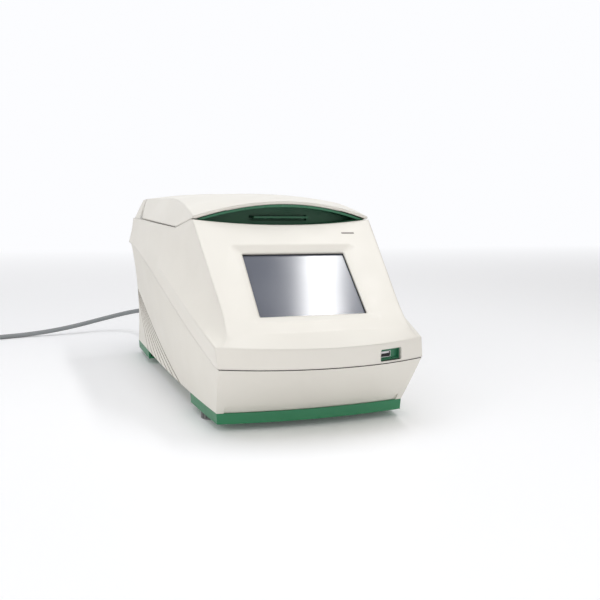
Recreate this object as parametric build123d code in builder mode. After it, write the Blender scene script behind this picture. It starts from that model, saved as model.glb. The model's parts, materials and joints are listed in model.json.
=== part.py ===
from build123d import *
import math
import os

# A bench-top thermal cycler for 96-well plates. Millimetres.
# +X is the viewer's right, the front faces -Y, +Z is up and the bench is Z = 0.
# The origin is under the middle of the instrument, without its mains lead.

# Overall size of the instrument.
body_width = 252.0
body_depth = 472.0
crown_height = 232.0
half_width = body_width / 2
front_y = -body_depth / 2
rear_y = body_depth / 2

# Moulded walls and the clearances between pieces.
case_wall = 3.0
lid_wall = 2.6
lid_gap = 1.0
fit_gap = 0.3
running_gap = 0.05

# Heights of the creases, at the front.
case_floor_z = 18.4
seam_front_z = 70.0
seam_rear_z = 162.0
band_height = 20.0
tray_bottom_z = 7.4

# How far the sides stand in from half the width, at the front and at the rear.
floor_inset_front = 28.0
floor_inset_rear = 12.5
seam_inset_front = 18.3
seam_inset_rear = 0.5
ridge_inset_front = 17.5
ridge_inset_rear = 4.0
wall_inset_front = 33.0
wall_inset_rear = 9.0
grip_depth = 6.0

# The bowed front: how far the middle leads the corners, and where each crease lies.
corner_setback = 28.0
undercut_depth = 63.0
apron_depth = 35.0
apron_rise = 9.5
band_bow = 26.0
crease_bow = 35.0
floor_bow = 5.5

# The lid.
lid_corner_z = crown_height - 27.0
lid_notch_z = crown_height - 39.0
lid_rear_z = crown_height - 37.0
lid_front = 150.0
lid_front_bow = 8.0
lid_corner = lid_front + 8.0
lid_notch = lid_front + 75.0
lid_rear = body_depth - 52.0
brow_rise = 17.0
scoop_drop = 6.0
hinge_depth = lid_rear - 5.0
hinge_z = crown_height - 15.0
barrel_radius = 28.0
barrel_clearance = 2.0
sky_z = crown_height + 28.0

deck_z = crown_height - 48.0
deck_thickness = 3.0
ledge_width = 9.0

# The sloping face runs from the apron to just behind the lid's front edge.
face_low_z = seam_front_z + band_height + apron_rise
face_top_depth = lid_front + 6.0
face_slope = math.degrees(math.atan2(lid_corner_z - face_low_z, face_top_depth - apron_depth))

os.makedirs("parts", exist_ok=True)


def behind_front(depth):
    """The Y of a point this far behind the foremost point of the front."""
    return front_y + depth


def cross_plane(depth):
    """A plane across the instrument, drawn as seen from the front."""
    return Plane.XZ.offset(-behind_front(depth))


def along(depth):
    """0 at the front corners, 1 at the rear, and level behind it."""
    return min((depth - corner_setback) / (body_depth - corner_setback), 1.0)


def side_half(depth, inset_front, inset_rear, power):
    """Half the width at a crease that widens towards the rear."""
    return half_width - inset_rear - (inset_front - inset_rear) * (1 - along(depth)) ** power


def floor_half(depth):
    return side_half(depth, floor_inset_front, floor_inset_rear, 3)


def seam_half(depth):
    return side_half(depth, seam_inset_front, seam_inset_rear, 3)


def ridge_half(depth):
    return side_half(depth, ridge_inset_front, ridge_inset_rear, 4)


def wall_half(depth):
    return side_half(depth, wall_inset_front, wall_inset_rear, 1.6)


seam_start = 34.0


def seam_z(depth):
    """The seam between the two case halves climbs towards the rear."""
    left = max(body_depth - depth, 0.0) / (body_depth - seam_start)
    return seam_front_z + (seam_rear_z - seam_front_z) * (1 - left ** 1.4)


def ridge_z(depth):
    """The ridge above the seam; the band between them narrows towards the middle."""
    return seam_z(depth) + band_height - 6.0 * along(depth)


stations = [-30.0, 30.0, 90.0, 160.0, 240.0, body_depth - 142, body_depth - 62, body_depth + 8]
overrun = 12.0


def lower_section(depth, inset):
    """Half of the lower case at one depth, mirrored: floor, flared side, open above the seam."""
    floor, seam, height = floor_half(depth) - inset, seam_half(depth) - inset, seam_z(depth)
    waist_z = case_floor_z + 0.6 * (height - case_floor_z)
    waist = floor + 0.6 * (seam - floor) - grip_depth * max(along(depth), 0.0) ** 2
    with BuildSketch(cross_plane(depth)) as section:
        with BuildLine():
            Polyline((0, -overrun), (floor - 2, -overrun), (floor, case_floor_z))
            Spline((floor, case_floor_z), (waist, waist_z), (seam, height + overrun))
            Line((seam, height + overrun), (0, height + overrun))
            mirror(about=Plane.YZ)
        make_face()
    return section.sketch


def upper_section(depth, inset):
    """The upper case at one depth: the band, the concave flare above it and the upright wall."""
    seam, ridge, side = seam_half(depth) - inset, ridge_half(depth) - inset, wall_half(depth) - inset
    low, crease = seam_z(depth), ridge_z(depth)
    flare_rise = 56.0 - 42.0 * max(1 - along(depth), 0.0) ** 4
    middle = (side + 0.33 * (ridge - side), crease + 0.4 * flare_rise)
    top = crown_height + overrun
    with BuildSketch(cross_plane(depth)) as section:
        with BuildLine():
            Polyline((0, low - overrun), (seam, low - overrun), (seam, low), (ridge, crease))
            ThreePointArc((ridge, crease), middle, (side, crease + flare_rise))
            Polyline((side, crease + flare_rise), (side, top), (0, top))
            mirror(about=Plane.YZ)
        make_face()
    return section.sketch


# The lid at each depth: how far its shoulder crease stands in, and how far that and the crown
# lie below the top.
lid_drops = (
    (lid_front - 20, 23.5, 29.5, 10.5),
    (lid_corner, 24.0, 23.5, 6.0),
    (190.0, 25.5, 17.0, 3.0),
    (lid_notch, 27.0, 11.5, 1.0),
    (300.0, 30.0, 7.0, 0.0),
    (lid_rear - 20, 28.0, 8.5, 1.5),
    (body_depth + 20, 23.0, 18.5, 9.0),
)
lid_stations = [(depth, half_width - inset, crown_height - shoulder_drop, crown_height - crown_drop)
                for depth, inset, shoulder_drop, crown_drop in lid_drops]


def lid_section(depth, shoulder_x, shoulder_z, crown_z, inset):
    """The lid at one depth: its leaning side, its shoulder and its crowned top."""
    side = wall_half(depth) - inset
    shoulder_x, shoulder_z, crown_z = shoulder_x - inset, shoulder_z - inset, crown_z - inset
    foot_z = lid_notch_z
    lean = (side - shoulder_x) / (shoulder_z + inset - foot_z)
    with BuildSketch(cross_plane(depth)) as section:
        with BuildLine():
            edge = (side + overrun * lean, foot_z - overrun)
            Polyline((-edge[0], edge[1]), edge, (shoulder_x, shoulder_z))
            ThreePointArc((shoulder_x, shoulder_z), (0, crown_z), (-shoulder_x, shoulder_z))
            Line((-shoulder_x, shoulder_z), (-edge[0], edge[1]))
        make_face()
    return section.sketch


# The front from bench to crown: height, depth of its middle, bow, and the way in through the wall.
face_end_z = crown_height + 14
face_end_depth = apron_depth + (face_end_z - face_low_z) / math.tan(math.radians(face_slope))
face_inward = (math.sin(math.radians(face_slope)), -math.cos(math.radians(face_slope)))
front_levels = (
    (0.0, undercut_depth + 2, floor_bow, (0.74, 0.67)),
    (seam_front_z, 2.0, band_bow, (1.0, 0.3)),
    (seam_front_z + band_height, 0.0, crease_bow, (1.0, -0.6)),
    (face_low_z, apron_depth, 0.0, (0.46, -0.89)),
    (face_end_z, face_end_depth, 0.0, face_inward),
)
block_reach = half_width + 24
corner_half = half_width - 18


def front_block(inset):
    """All that lies behind the front: undercut, band, apron and sloping face."""
    levels = []
    for height, depth, bow, inward in front_levels:
        middle_y = behind_front(depth + inward[0] * inset)
        edge_y = middle_y + bow * (block_reach / corner_half) ** 2
        with BuildSketch(Plane.XY.offset(height + inward[1] * inset)) as level:
            with BuildLine():
                left, right = (-block_reach, edge_y), (block_reach, edge_y)
                if bow:
                    ThreePointArc(left, (0, middle_y), right)
                else:
                    Line(left, right)
                Polyline(right, (block_reach, rear_y + 40), (-block_reach, rear_y + 40), left)
            make_face()
        levels.append(level.sketch)
    with BuildPart() as block:
        loft(levels, ruled=True)
    return block.part


def bowed_block(depth, bow, low, high, rear):
    """All that lies behind an upright bowed front, between two heights."""
    edge_y = behind_front(depth + bow * (block_reach / corner_half) ** 2)
    with BuildPart() as block:
        with BuildSketch(Plane.XY.offset(low)):
            with BuildLine():
                left, right = (-block_reach, edge_y), (block_reach, edge_y)
                ThreePointArc(left, (0, behind_front(depth)), right)
                Polyline(right, (block_reach, behind_front(rear)), (-block_reach, behind_front(rear)), left)
            make_face()
        extrude(amount=high - low)
    return block.part


rear_corner_radius = 30.0


def side_profile(points, rounded=None):
    """A closed outline in the plane of symmetry, as (depth, height), taken right across."""
    with BuildPart() as slab:
        with BuildSketch(Plane.YZ) as outline:
            with BuildLine():
                Polyline([(behind_front(depth), height) for depth, height in points], close=True)
            make_face()
            if rounded:
                top_corners = outline.vertices().sort_by(Axis.Y)[-2:]
                fillet(top_corners.sort_by(Axis.X)[-1], rounded)
        extrude(amount=block_reach, both=True)
    return slab.part


def below_seam(above=False):
    """The space under the seam, or over it."""
    knots = [seam_start + 22, 108.0, 213.0, 350.0, body_depth + 30]
    limit = crown_height + 30 if above else -overrun
    with BuildPart() as slab:
        with BuildSketch(Plane.YZ):
            with BuildLine():
                start = (behind_front(seam_start), seam_front_z)
                first = (behind_front(-40), seam_front_z)
                Line(first, start)
                rising = [(behind_front(knot), seam_z(knot)) for knot in knots]
                Spline(start, *rising)
                Polyline(rising[-1], (rising[-1][0], limit), (first[0], limit), first)
            make_face()
        extrude(amount=block_reach, both=True)
    return slab.part


def lid_space(shrink=0.0):
    """The space above the lid's lower edge and ahead of its rear seam."""
    with BuildPart() as slab:
        with BuildSketch(Plane.YZ) as outline:
            with BuildLine():
                points = ((60, lid_corner_z), (lid_corner + 3, lid_corner_z), (lid_notch, lid_notch_z),
                          (lid_rear, lid_rear_z), (lid_rear + 19, lid_rear_z + 13),
                          (lid_rear + 23, hinge_z), (lid_rear + 21, sky_z), (60, sky_z))
                Polyline([(behind_front(depth), height) for depth, height in points], close=True)
            make_face()
            if shrink:
                offset(amount=-shrink, kind=Kind.INTERSECTION)
        extrude(amount=block_reach, both=True)
    return slab.part


def rear_block(inset, top):
    """All that lies ahead of the rear wall, with the rounded top corner."""
    depth = body_depth - inset
    return side_profile(((-40, -overrun), (depth, -overrun), (depth, top - inset), (-40, top - inset)),
                        rear_corner_radius - inset)


# The two case halves and the lid share these forms.
with BuildPart() as lower_form:
    loft([lower_section(depth, 0) for depth in stations])

with BuildPart() as lower_hollow:
    loft([lower_section(depth, case_wall) for depth in stations])

with BuildPart() as upper_form:
    loft([upper_section(depth, 0) for depth in stations])

with BuildPart() as upper_hollow:
    loft([upper_section(depth, case_wall) for depth in stations])

with BuildPart() as lid_form:
    loft([lid_section(*station, 0) for station in lid_stations])

with BuildPart() as lid_hollow:
    loft([lid_section(*station, lid_wall) for station in lid_stations])

front_outside = front_block(0)
front_inside = front_block(case_wall)
rear_outside = rear_block(0, crown_height - 3)
rear_inside = rear_block(case_wall, crown_height - 3)
under_seam = below_seam()
over_seam = below_seam(above=True)
lid_zone = lid_space()
lid_zone_tight = lid_space(lid_gap)

# Lower case: the moulded tub, open at the back for the rear panel, with fanned grooves on its flanks.
rear_opening_half = half_width - 26
rear_opening_low = 26.0
rear_opening_high = seam_rear_z - 15
strip_top_z = 26.0
strip_half = half_width - 32
strip_depth = 1.5
groove_count = 7
groove_width = 1.8
groove_depth = 0.9
groove_first = 263.0
groove_pitch = 18.0
groove_high = 98.0
groove_fall = 3.5
chassis_z = 27.0
chassis_thickness = 1.5
chassis_half = rear_opening_half - 4
chassis_spots = [(x, behind_front(d)) for x in (12 - chassis_half, chassis_half - 12)
                 for d in (92, 260, body_depth - 32)]
tray_front = 48.5
tray_bow = 11.0
tray_wall = 3.0
screw_radius = 1.5
base_screw_spots = [(x, behind_front(d)) for x in (-60, 60) for d in (tray_front + 48, body_depth - 47)]
panel_overlap = 6.0
panel_screw_spots = [(x, z) for x in (-rear_opening_half - 3, rear_opening_half + 3)
                     for z in (rear_opening_low + 10, (rear_opening_low + rear_opening_high) / 2, rear_opening_high - 9)]

with BuildPart() as tub_room:
    add(lower_hollow.part)
    add(front_inside, mode=Mode.INTERSECT)
    add(rear_inside, mode=Mode.INTERSECT)
    split(bisect_by=Plane.XY.offset(case_floor_z + case_wall), keep=Keep.TOP)

with BuildPart() as groove_floor:
    loft([lower_section(depth, groove_depth) for depth in stations])

with BuildPart() as grooves:
    with BuildSketch(Plane.YZ):
        for groove in range(groove_count):
            low = (behind_front(groove_first + groove * groove_pitch), case_floor_z - 6)
            high = (rear_y + 4, groove_high - groove * groove_fall)
            with BuildLine() as centre:
                Line(low, high)
            trace(centre.line, groove_width)
    extrude(amount=block_reach, both=True)
    add(groove_floor.part, mode=Mode.SUBTRACT)

with BuildPart() as front_strip:
    with BuildSketch(Plane.XY.offset(case_floor_z - 2)):
        with Locations((0, behind_front(undercut_depth))):
            Rectangle(2 * strip_half, 2 * undercut_depth)
    extrude(amount=strip_top_z - case_floor_z + 2)
    add(front_block(strip_depth), mode=Mode.SUBTRACT)

with BuildPart() as lower_case:
    add(lower_form.part)
    add(front_outside, mode=Mode.INTERSECT)
    add(rear_outside, mode=Mode.INTERSECT)
    add(under_seam, mode=Mode.INTERSECT)
    split(bisect_by=Plane.XY.offset(case_floor_z), keep=Keep.TOP)
    add(tub_room.part, mode=Mode.SUBTRACT)
    add(front_strip.part, mode=Mode.SUBTRACT)
    add(grooves.part, mode=Mode.SUBTRACT)
    with BuildSketch(Plane.XZ.offset(-rear_y + 20)):
        with Locations((0, (rear_opening_low + rear_opening_high) / 2)):
            RectangleRounded(2 * rear_opening_half, rear_opening_high - rear_opening_low, 4)
    extrude(amount=-30, mode=Mode.SUBTRACT)
    with BuildSketch(Plane.XY.offset(case_floor_z + case_wall)):
        with Locations(*chassis_spots):
            Circle(5)
    extrude(amount=chassis_z - case_floor_z - case_wall)
    with BuildSketch(Plane.XY.offset(case_floor_z)):
        with Locations(*base_screw_spots):
            Circle(screw_radius + running_gap)
    extrude(amount=case_wall, mode=Mode.SUBTRACT)
    with BuildSketch(cross_plane(body_depth - case_wall)):
        with Locations(*panel_screw_spots):
            Circle(screw_radius + running_gap)
    extrude(amount=-case_wall, mode=Mode.SUBTRACT)
lower_case.part.label = "lower_case"
export_step(lower_case.part, "parts/lower_case.step")

# Upper case: the sloping face, the side walls, the rear hood and the barrel wall behind the hinge.
rim_line = ((-40, lid_corner_z), (lid_corner + 3, lid_corner_z), (lid_notch, lid_notch_z), (lid_rear, lid_rear_z))
below_rim = side_profile((*rim_line, (body_depth + 40, lid_rear_z), (body_depth + 40, -overrun), (-40, -overrun)))
rear_seam = ((lid_rear, lid_rear_z), (lid_rear + 19, lid_rear_z + 13), (lid_rear + 23, hinge_z), (lid_rear + 21, sky_z))
hood_zone = side_profile((*rear_seam, (body_depth + 40, sky_z), (body_depth + 40, lid_rear_z)))
open_zone = side_profile(((-40, -overrun), (-40, sky_z), (lid_rear - 5, sky_z), (lid_rear - 5, lid_rear_z),
                          (body_depth + 40, lid_rear_z), (body_depth + 40, -overrun)))
hood_space = side_profile(((lid_rear - 10, lid_rear_z - 3), (lid_rear - 10, sky_z), (body_depth + 40, sky_z),
                           (body_depth + 40, lid_rear_z - 3)))

with BuildPart() as hood:
    add(lid_form.part)
    add(hood_zone, mode=Mode.INTERSECT)
    add(rear_outside, mode=Mode.INTERSECT)

with BuildPart() as hood_hollow:
    add(lid_hollow.part)
    add(hood_space, mode=Mode.INTERSECT)
    add(rear_inside, mode=Mode.INTERSECT)

with BuildPart() as upper_room:
    add(upper_hollow.part)
    add(front_inside, mode=Mode.INTERSECT)
    add(rear_inside, mode=Mode.INTERSECT)
    add(open_zone, mode=Mode.INTERSECT)

hinge_plane = Plane.YZ.shift_origin((0, behind_front(hinge_depth), hinge_z))
barrel_half = wall_half(lid_rear) - 2.0

with BuildPart() as barrel_room:
    with BuildSketch(hinge_plane):
        Circle(barrel_radius + barrel_clearance)
    extrude(amount=barrel_half, both=True)

with BuildPart() as barrel_wall:
    with BuildSketch(hinge_plane):
        Circle(barrel_radius + barrel_clearance + lid_wall)
        with Locations((9 + 1.5 * barrel_radius, 0)):
            Rectangle(3 * barrel_radius, 3 * barrel_radius, mode=Mode.INTERSECT)
    extrude(amount=barrel_half - 1, both=True)
    add(lid_form.part, mode=Mode.INTERSECT)
    add(lid_zone, mode=Mode.SUBTRACT)

# The face: a pad behind a bevelled recess, with the screen opening in its middle.
face_plane = Plane(origin=(0, behind_front(apron_depth), face_low_z), x_dir=(1, 0, 0),
                   z_dir=(0, -math.sin(math.radians(face_slope)), math.cos(math.radians(face_slope))))
screen_width = 115.4
screen_height = 87.6
screen_centre = 67.9
recess_border = 16.6
recess_border_rows = 11.2
recess_depth = 3.5
screen_lip = 1.7
screen_plane = face_plane.shift_origin(face_plane.from_local_coords((0, screen_centre, 0)))

with BuildPart() as screen_pad:
    with BuildSketch(screen_plane.offset(-1.0)):
        RectangleRounded(screen_width + 2 * recess_border + 6, screen_height + 2 * recess_border_rows + 6, 6)
    extrude(amount=-(recess_depth + screen_lip - 1.0))

with BuildPart() as screen_recess:
    with BuildSketch(screen_plane.offset(0.5)):
        RectangleRounded(screen_width + 2 * recess_border, screen_height + 2 * recess_border_rows, 7)
    with BuildSketch(screen_plane.offset(-recess_depth)):
        RectangleRounded(screen_width, screen_height, 1.2)
    loft(ruled=True)
    with BuildSketch(screen_plane.offset(-recess_depth + 0.5)):
        RectangleRounded(screen_width, screen_height, 1.2)
    extrude(amount=-(screen_lip + 6))

# The finger scoop in the top edge of the face.
with BuildPart() as scoop:
    with BuildSketch(cross_plane(lid_front - 60)):
        with BuildLine():
            left, right = (-lid_stations[1][1] - 1, lid_corner_z), (lid_stations[1][1] + 1, lid_corner_z)
            ThreePointArc(left, (0, lid_corner_z - scoop_drop), right)
            Polyline(right, (right[0], lid_corner_z + 20), (left[0], lid_corner_z + 20), left)
        make_face()
    extrude(amount=-90)

# The window for the front socket, square to the bowed band.
usb_x = 64.2
usb_z = seam_front_z + 7.9
usb_width = 27.0
usb_height = 11.8
usb_depth = 2.0 + (band_bow + crease_bow) / 2 * (usb_x / corner_half) ** 2 - 1.0
usb_turn = math.degrees(math.atan((band_bow + crease_bow) * usb_x / corner_half ** 2))
usb_plane = Plane(origin=(usb_x, behind_front(usb_depth), usb_z),
                  x_dir=(math.cos(math.radians(usb_turn)), math.sin(math.radians(usb_turn)), 0),
                  z_dir=(math.sin(math.radians(usb_turn)), -math.cos(math.radians(usb_turn)), 0))

deck_bottom_z = deck_z - deck_thickness

with BuildPart() as deck_ledge:
    add(upper_room.part)
    split(bisect_by=Plane.XY.offset(deck_bottom_z - 0.01), keep=Keep.BOTTOM)
    split(bisect_by=Plane.XY.offset(deck_bottom_z - case_wall), keep=Keep.TOP)
    with BuildSketch(Plane.XY.offset(deck_bottom_z - case_wall)):
        with Locations((0, behind_front((lid_notch + lid_rear) / 2 - 8))):
            RectangleRounded(2 * (wall_half(lid_notch) - case_wall - ledge_width), lid_rear - 130, 8)
    extrude(amount=case_wall, mode=Mode.SUBTRACT)

with BuildPart() as upper_case:
    add(upper_form.part)
    add(below_rim, mode=Mode.INTERSECT)
    add(front_outside, mode=Mode.INTERSECT)
    add(rear_outside, mode=Mode.INTERSECT)
    add(over_seam, mode=Mode.INTERSECT)
    add(hood.part)
    add(upper_room.part, mode=Mode.SUBTRACT)
    add(hood_hollow.part, mode=Mode.SUBTRACT)
    add(barrel_wall.part)
    add(barrel_room.part, mode=Mode.SUBTRACT)
    add(screen_pad.part)
    add(screen_recess.part, mode=Mode.SUBTRACT)
    add(scoop.part, mode=Mode.SUBTRACT)
    add(deck_ledge.part)
    with BuildSketch(usb_plane.offset(10)):
        RectangleRounded(usb_width, usb_height, 1.2)
    extrude(amount=-25, mode=Mode.SUBTRACT)
upper_case.part.label = "upper_case"
export_step(upper_case.part, "parts/upper_case.step")

# Lid cover: the crowned shell with its brow over the handle.
brow_block = bowed_block(lid_front, lid_front_bow, deck_z - 30, crown_height + 30, body_depth + 40)

with BuildPart() as brow_cut:
    with BuildSketch(cross_plane(lid_front - 60)):
        with BuildLine():
            left, right = (-lid_stations[1][1] + 1, lid_corner_z - 1), (lid_stations[1][1] - 1, lid_corner_z - 1)
            ThreePointArc(left, (0, lid_corner_z + brow_rise), right)
            Polyline(right, (right[0], lid_corner_z - 40), (left[0], lid_corner_z - 40), left)
        make_face()
    extrude(amount=-(60 + 30))

lid_room_end = lid_rear + 14.0
liner_z = deck_z + 25
liner_thickness = 2.4
liner_front = lid_front + 32
liner_rear = hinge_depth - 27
lid_boss_x = 78.0
lid_boss_radius = 4.0
lid_boss_spots = [(side * lid_boss_x, behind_front(d)) for side in (-1, 1) for d in (liner_front + 12, liner_rear - 14)]
hinge_x = 62.0
upright_width = 8.0
leaf_thickness = 3.5
hinge_side_gap = 0.5
pin_radius = 3.0
knuckle_radius = 5.5

with BuildPart() as lid_room:
    add(lid_hollow.part)
    add(side_profile(((lid_front + 3, deck_z - 30), (lid_room_end, deck_z - 30), (lid_room_end + 4, crown_height + 30),
                      (lid_front + 3, crown_height + 30))), mode=Mode.INTERSECT)

with BuildPart() as lid_bosses:
    with BuildSketch(Plane.XY.offset(liner_z + liner_thickness)):
        with Locations(*lid_boss_spots):
            Circle(lid_boss_radius)
            Circle(1.5, mode=Mode.SUBTRACT)
    extrude(amount=crown_height)
    add(lid_form.part, mode=Mode.INTERSECT)
    add(lid_zone_tight, mode=Mode.INTERSECT)

with BuildPart() as lid_cover:
    add(lid_form.part)
    add(lid_zone_tight, mode=Mode.INTERSECT)
    add(brow_block, mode=Mode.INTERSECT)
    add(lid_room.part, mode=Mode.SUBTRACT)
    add(brow_cut.part, mode=Mode.SUBTRACT)
    with BuildSketch(Plane.XY.offset(lid_notch_z - 10)):
        with Locations((-hinge_x, behind_front(hinge_depth + 20)), (hinge_x, behind_front(hinge_depth + 20))):
            Rectangle(upright_width + 3, 20)
    extrude(amount=hinge_z + 5 - lid_notch_z + 10, mode=Mode.SUBTRACT)
    add(lid_bosses.part)
lid_cover.part.label = "lid_cover"
export_step(lid_cover.part, "parts/lid_cover.step")

# Base tray: the green skirt at the front and rear, joined by a flat floor.
skirt_front_end = 148.0
skirt_rear_start = body_depth - 86
waist_inset = 16.0

tray_outline = bowed_block(tray_front, tray_bow, tray_bottom_z, case_floor_z, body_depth - 1)
tray_inside = bowed_block(tray_front + tray_wall, tray_bow, tray_bottom_z + tray_wall, case_floor_z + 10,
                          body_depth - 1 - tray_wall)

with BuildPart() as tray_room:
    loft([lower_section(depth, tray_wall) for depth in stations])
    add(tray_inside, mode=Mode.INTERSECT)

with BuildPart() as tray_waist:
    loft([lower_section(depth, waist_inset) for depth in stations])

with BuildPart() as waist_zone:
    add(side_profile(((skirt_front_end, 0), (skirt_front_end, 30), (skirt_rear_start, 30), (skirt_rear_start, 0))))
    add(tray_waist.part, mode=Mode.SUBTRACT)

with BuildPart() as base_tray:
    add(lower_form.part)
    add(tray_outline, mode=Mode.INTERSECT)
    add(tray_room.part, mode=Mode.SUBTRACT)
    add(waist_zone.part, mode=Mode.SUBTRACT)
    with BuildSketch(Plane.XY.offset(tray_bottom_z)):
        with Locations(*base_screw_spots):
            Circle(4)
    extrude(amount=case_floor_z - tray_bottom_z)
    with BuildSketch(Plane.XY.offset(tray_bottom_z)):
        with Locations(*base_screw_spots):
            Circle(screw_radius + running_gap)
    extrude(amount=case_floor_z - tray_bottom_z, mode=Mode.SUBTRACT)
base_tray.part.label = "base_tray"
export_step(base_tray.part, "parts/base_tray.step")

# Feet: ribbed rubber pads on studs.
foot_radius = 10.0
foot_x = half_width - 32
foot_notches = 14
foot_spots = [(x, behind_front(d)) for d in (110, body_depth - 34) for x in (-foot_x, foot_x)]

with BuildPart() as feet:
    with BuildSketch(Plane.XY) as sole:
        with Locations(*foot_spots):
            RegularPolygon(foot_radius, 2 * foot_notches)
    extrude(amount=tray_bottom_z)
    with BuildSketch(Plane.XY.offset(1.5)):
        for spot in foot_spots:
            with Locations(spot):
                with PolarLocations(foot_radius, foot_notches):
                    Rectangle(1.8, 1.6)
    extrude(amount=tray_bottom_z, mode=Mode.SUBTRACT)
feet.part.label = "feet"
export_step(feet.part, "parts/feet.step")

# Screen: gasket, touch glass, panel and control board behind the recess.
gasket_thickness = 0.7
glass_thickness = 1.8
panel_thickness = 8.0
glass_margin = 4.0
gasket_show = 0.8
pad_back = recess_depth + screen_lip

with BuildPart() as screen_gasket:
    with BuildSketch(screen_plane.offset(-pad_back)):
        Rectangle(screen_width + 2 * glass_margin, screen_height + 2 * glass_margin)
        Rectangle(screen_width - 2 * gasket_show, screen_height - 2 * gasket_show, mode=Mode.SUBTRACT)
    extrude(amount=-gasket_thickness)
screen_gasket.part.label = "screen_gasket"
export_step(screen_gasket.part, "parts/screen_gasket.step")

with BuildPart() as touch_glass:
    with BuildSketch(screen_plane.offset(-pad_back - gasket_thickness)):
        RectangleRounded(screen_width + 2 * glass_margin, screen_height + 2 * glass_margin, 1.5)
    extrude(amount=-glass_thickness)
touch_glass.part.label = "touch_glass"
export_step(touch_glass.part, "parts/touch_glass.step")

panel_face = pad_back + gasket_thickness + glass_thickness
with BuildPart() as display_panel:
    with BuildSketch(screen_plane.offset(-panel_face)):
        Rectangle(screen_width + 14, screen_height + 10)
    extrude(amount=-panel_thickness)
display_panel.part.label = "display_panel"
export_step(display_panel.part, "parts/display_panel.step")

board_face = panel_face + panel_thickness + 4.0
with BuildPart() as display_board:
    with BuildSketch(screen_plane.offset(-board_face)):
        Rectangle(screen_width + 14, screen_height)
    extrude(amount=-1.6)
    with BuildSketch(screen_plane.offset(-board_face - 1.6)):
        with GridLocations(34, 30, 3, 2):
            Rectangle(14, 14)
    extrude(amount=-2.4)
    with BuildSketch(screen_plane.offset(-board_face)):
        with GridLocations(screen_width + 4, screen_height - 8, 2, 2):
            Circle(2.5)
    extrude(amount=4.0)
display_board.part.label = "display_board"
export_step(display_board.part, "parts/display_board.step")

# Front socket: the green insert in its window and the metal shell in it.
insert_set = 1.5
insert_depth = 9.0
insert_wall = 1.5
socket_x = -3.6
socket_width = 13.2
socket_height = 5.7
socket_wall = 0.4
socket_depth = 14.0
tongue_thickness = 1.8

with BuildPart() as usb_insert:
    with BuildSketch(usb_plane.offset(-insert_set)):
        RectangleRounded(usb_width - 2 * fit_gap, usb_height - 2 * fit_gap, 1.0)
    extrude(amount=-insert_depth)
    with BuildSketch(usb_plane.offset(-insert_set)):
        RectangleRounded(usb_width - 2 * insert_wall, usb_height - 2 * insert_wall, 0.7)
    extrude(amount=-insert_depth + insert_wall, mode=Mode.SUBTRACT)
    with BuildSketch(usb_plane.offset(-insert_set)):
        with Locations((socket_x, 0)):
            Rectangle(socket_width + 2 * running_gap, socket_height + 2 * running_gap)
    extrude(amount=-insert_depth, mode=Mode.SUBTRACT)
usb_insert.part.label = "usb_insert"
export_step(usb_insert.part, "parts/usb_insert.step")

with BuildPart() as usb_socket:
    with BuildSketch(usb_plane.offset(-insert_set - 2)):
        with Locations((socket_x, 0)):
            Rectangle(socket_width, socket_height)
    extrude(amount=-socket_depth)
    with BuildSketch(usb_plane.offset(-insert_set - 2)):
        with Locations((socket_x, 0)):
            Rectangle(socket_width - 2 * socket_wall, socket_height - 2 * socket_wall)
    extrude(amount=-socket_depth + 2, mode=Mode.SUBTRACT)
    with BuildSketch(usb_plane.offset(-insert_set - 3)):
        with Locations((socket_x, socket_height / 2 - socket_wall - tongue_thickness / 2)):
            Rectangle(socket_width - 2, tongue_thickness)
    extrude(amount=-socket_depth + 2)
usb_socket.part.label = "usb_socket"
export_step(usb_socket.part, "parts/usb_socket.step")

# Deck: the flat panel under the lid, with the window for the block and slots for the latch hooks.
well_columns = 12
well_rows = 8
well_pitch = 9.0
well_radius = 3.1
well_depth = 17.0
block_depth = 250.0
block_y = behind_front(block_depth)
block_margin = 3.5
block_width = well_columns * well_pitch + 2 * block_margin
block_length = well_rows * well_pitch + 2 * block_margin
block_top_z = deck_z - 2
block_base_z = block_top_z - 28.2
block_flange = 3.0
flange_thickness = 6.0
collar_wall = 8.0
collar_lip = 1.6
collar_flange = 6.0
collar_gap = 1.0
latch_depth = lid_front + 36
latch_z = deck_z + 19
latch_y = behind_front(latch_depth)
hook_x = 70.0
hook_thickness = 5.0
slot_side = 1.5
slot_front = latch_depth - 10.0
slot_rear = latch_depth + 6.5
deck_rear = body_depth - 32

with BuildPart() as deck_panel:
    loft([upper_section(depth, case_wall + fit_gap) for depth in stations])
    add(front_block(case_wall + fit_gap), mode=Mode.INTERSECT)
    add(side_profile(((0, deck_bottom_z), (deck_rear, deck_bottom_z), (deck_rear, deck_z), (0, deck_z))),
        mode=Mode.INTERSECT)
    with BuildSketch(Plane.XY.offset(deck_bottom_z)):
        with Locations((0, block_y)):
            Rectangle(block_width + 2 * collar_wall + 2, block_length + 2 * collar_wall + 2)
        with Locations(*[(side * hook_x, behind_front((slot_front + slot_rear) / 2)) for side in (-1, 1)]):
            Rectangle(hook_thickness + 2 * slot_side, slot_rear - slot_front)
    extrude(amount=deck_thickness, mode=Mode.SUBTRACT)
deck_panel.part.label = "deck_panel"
export_step(deck_panel.part, "parts/deck_panel.step")

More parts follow.
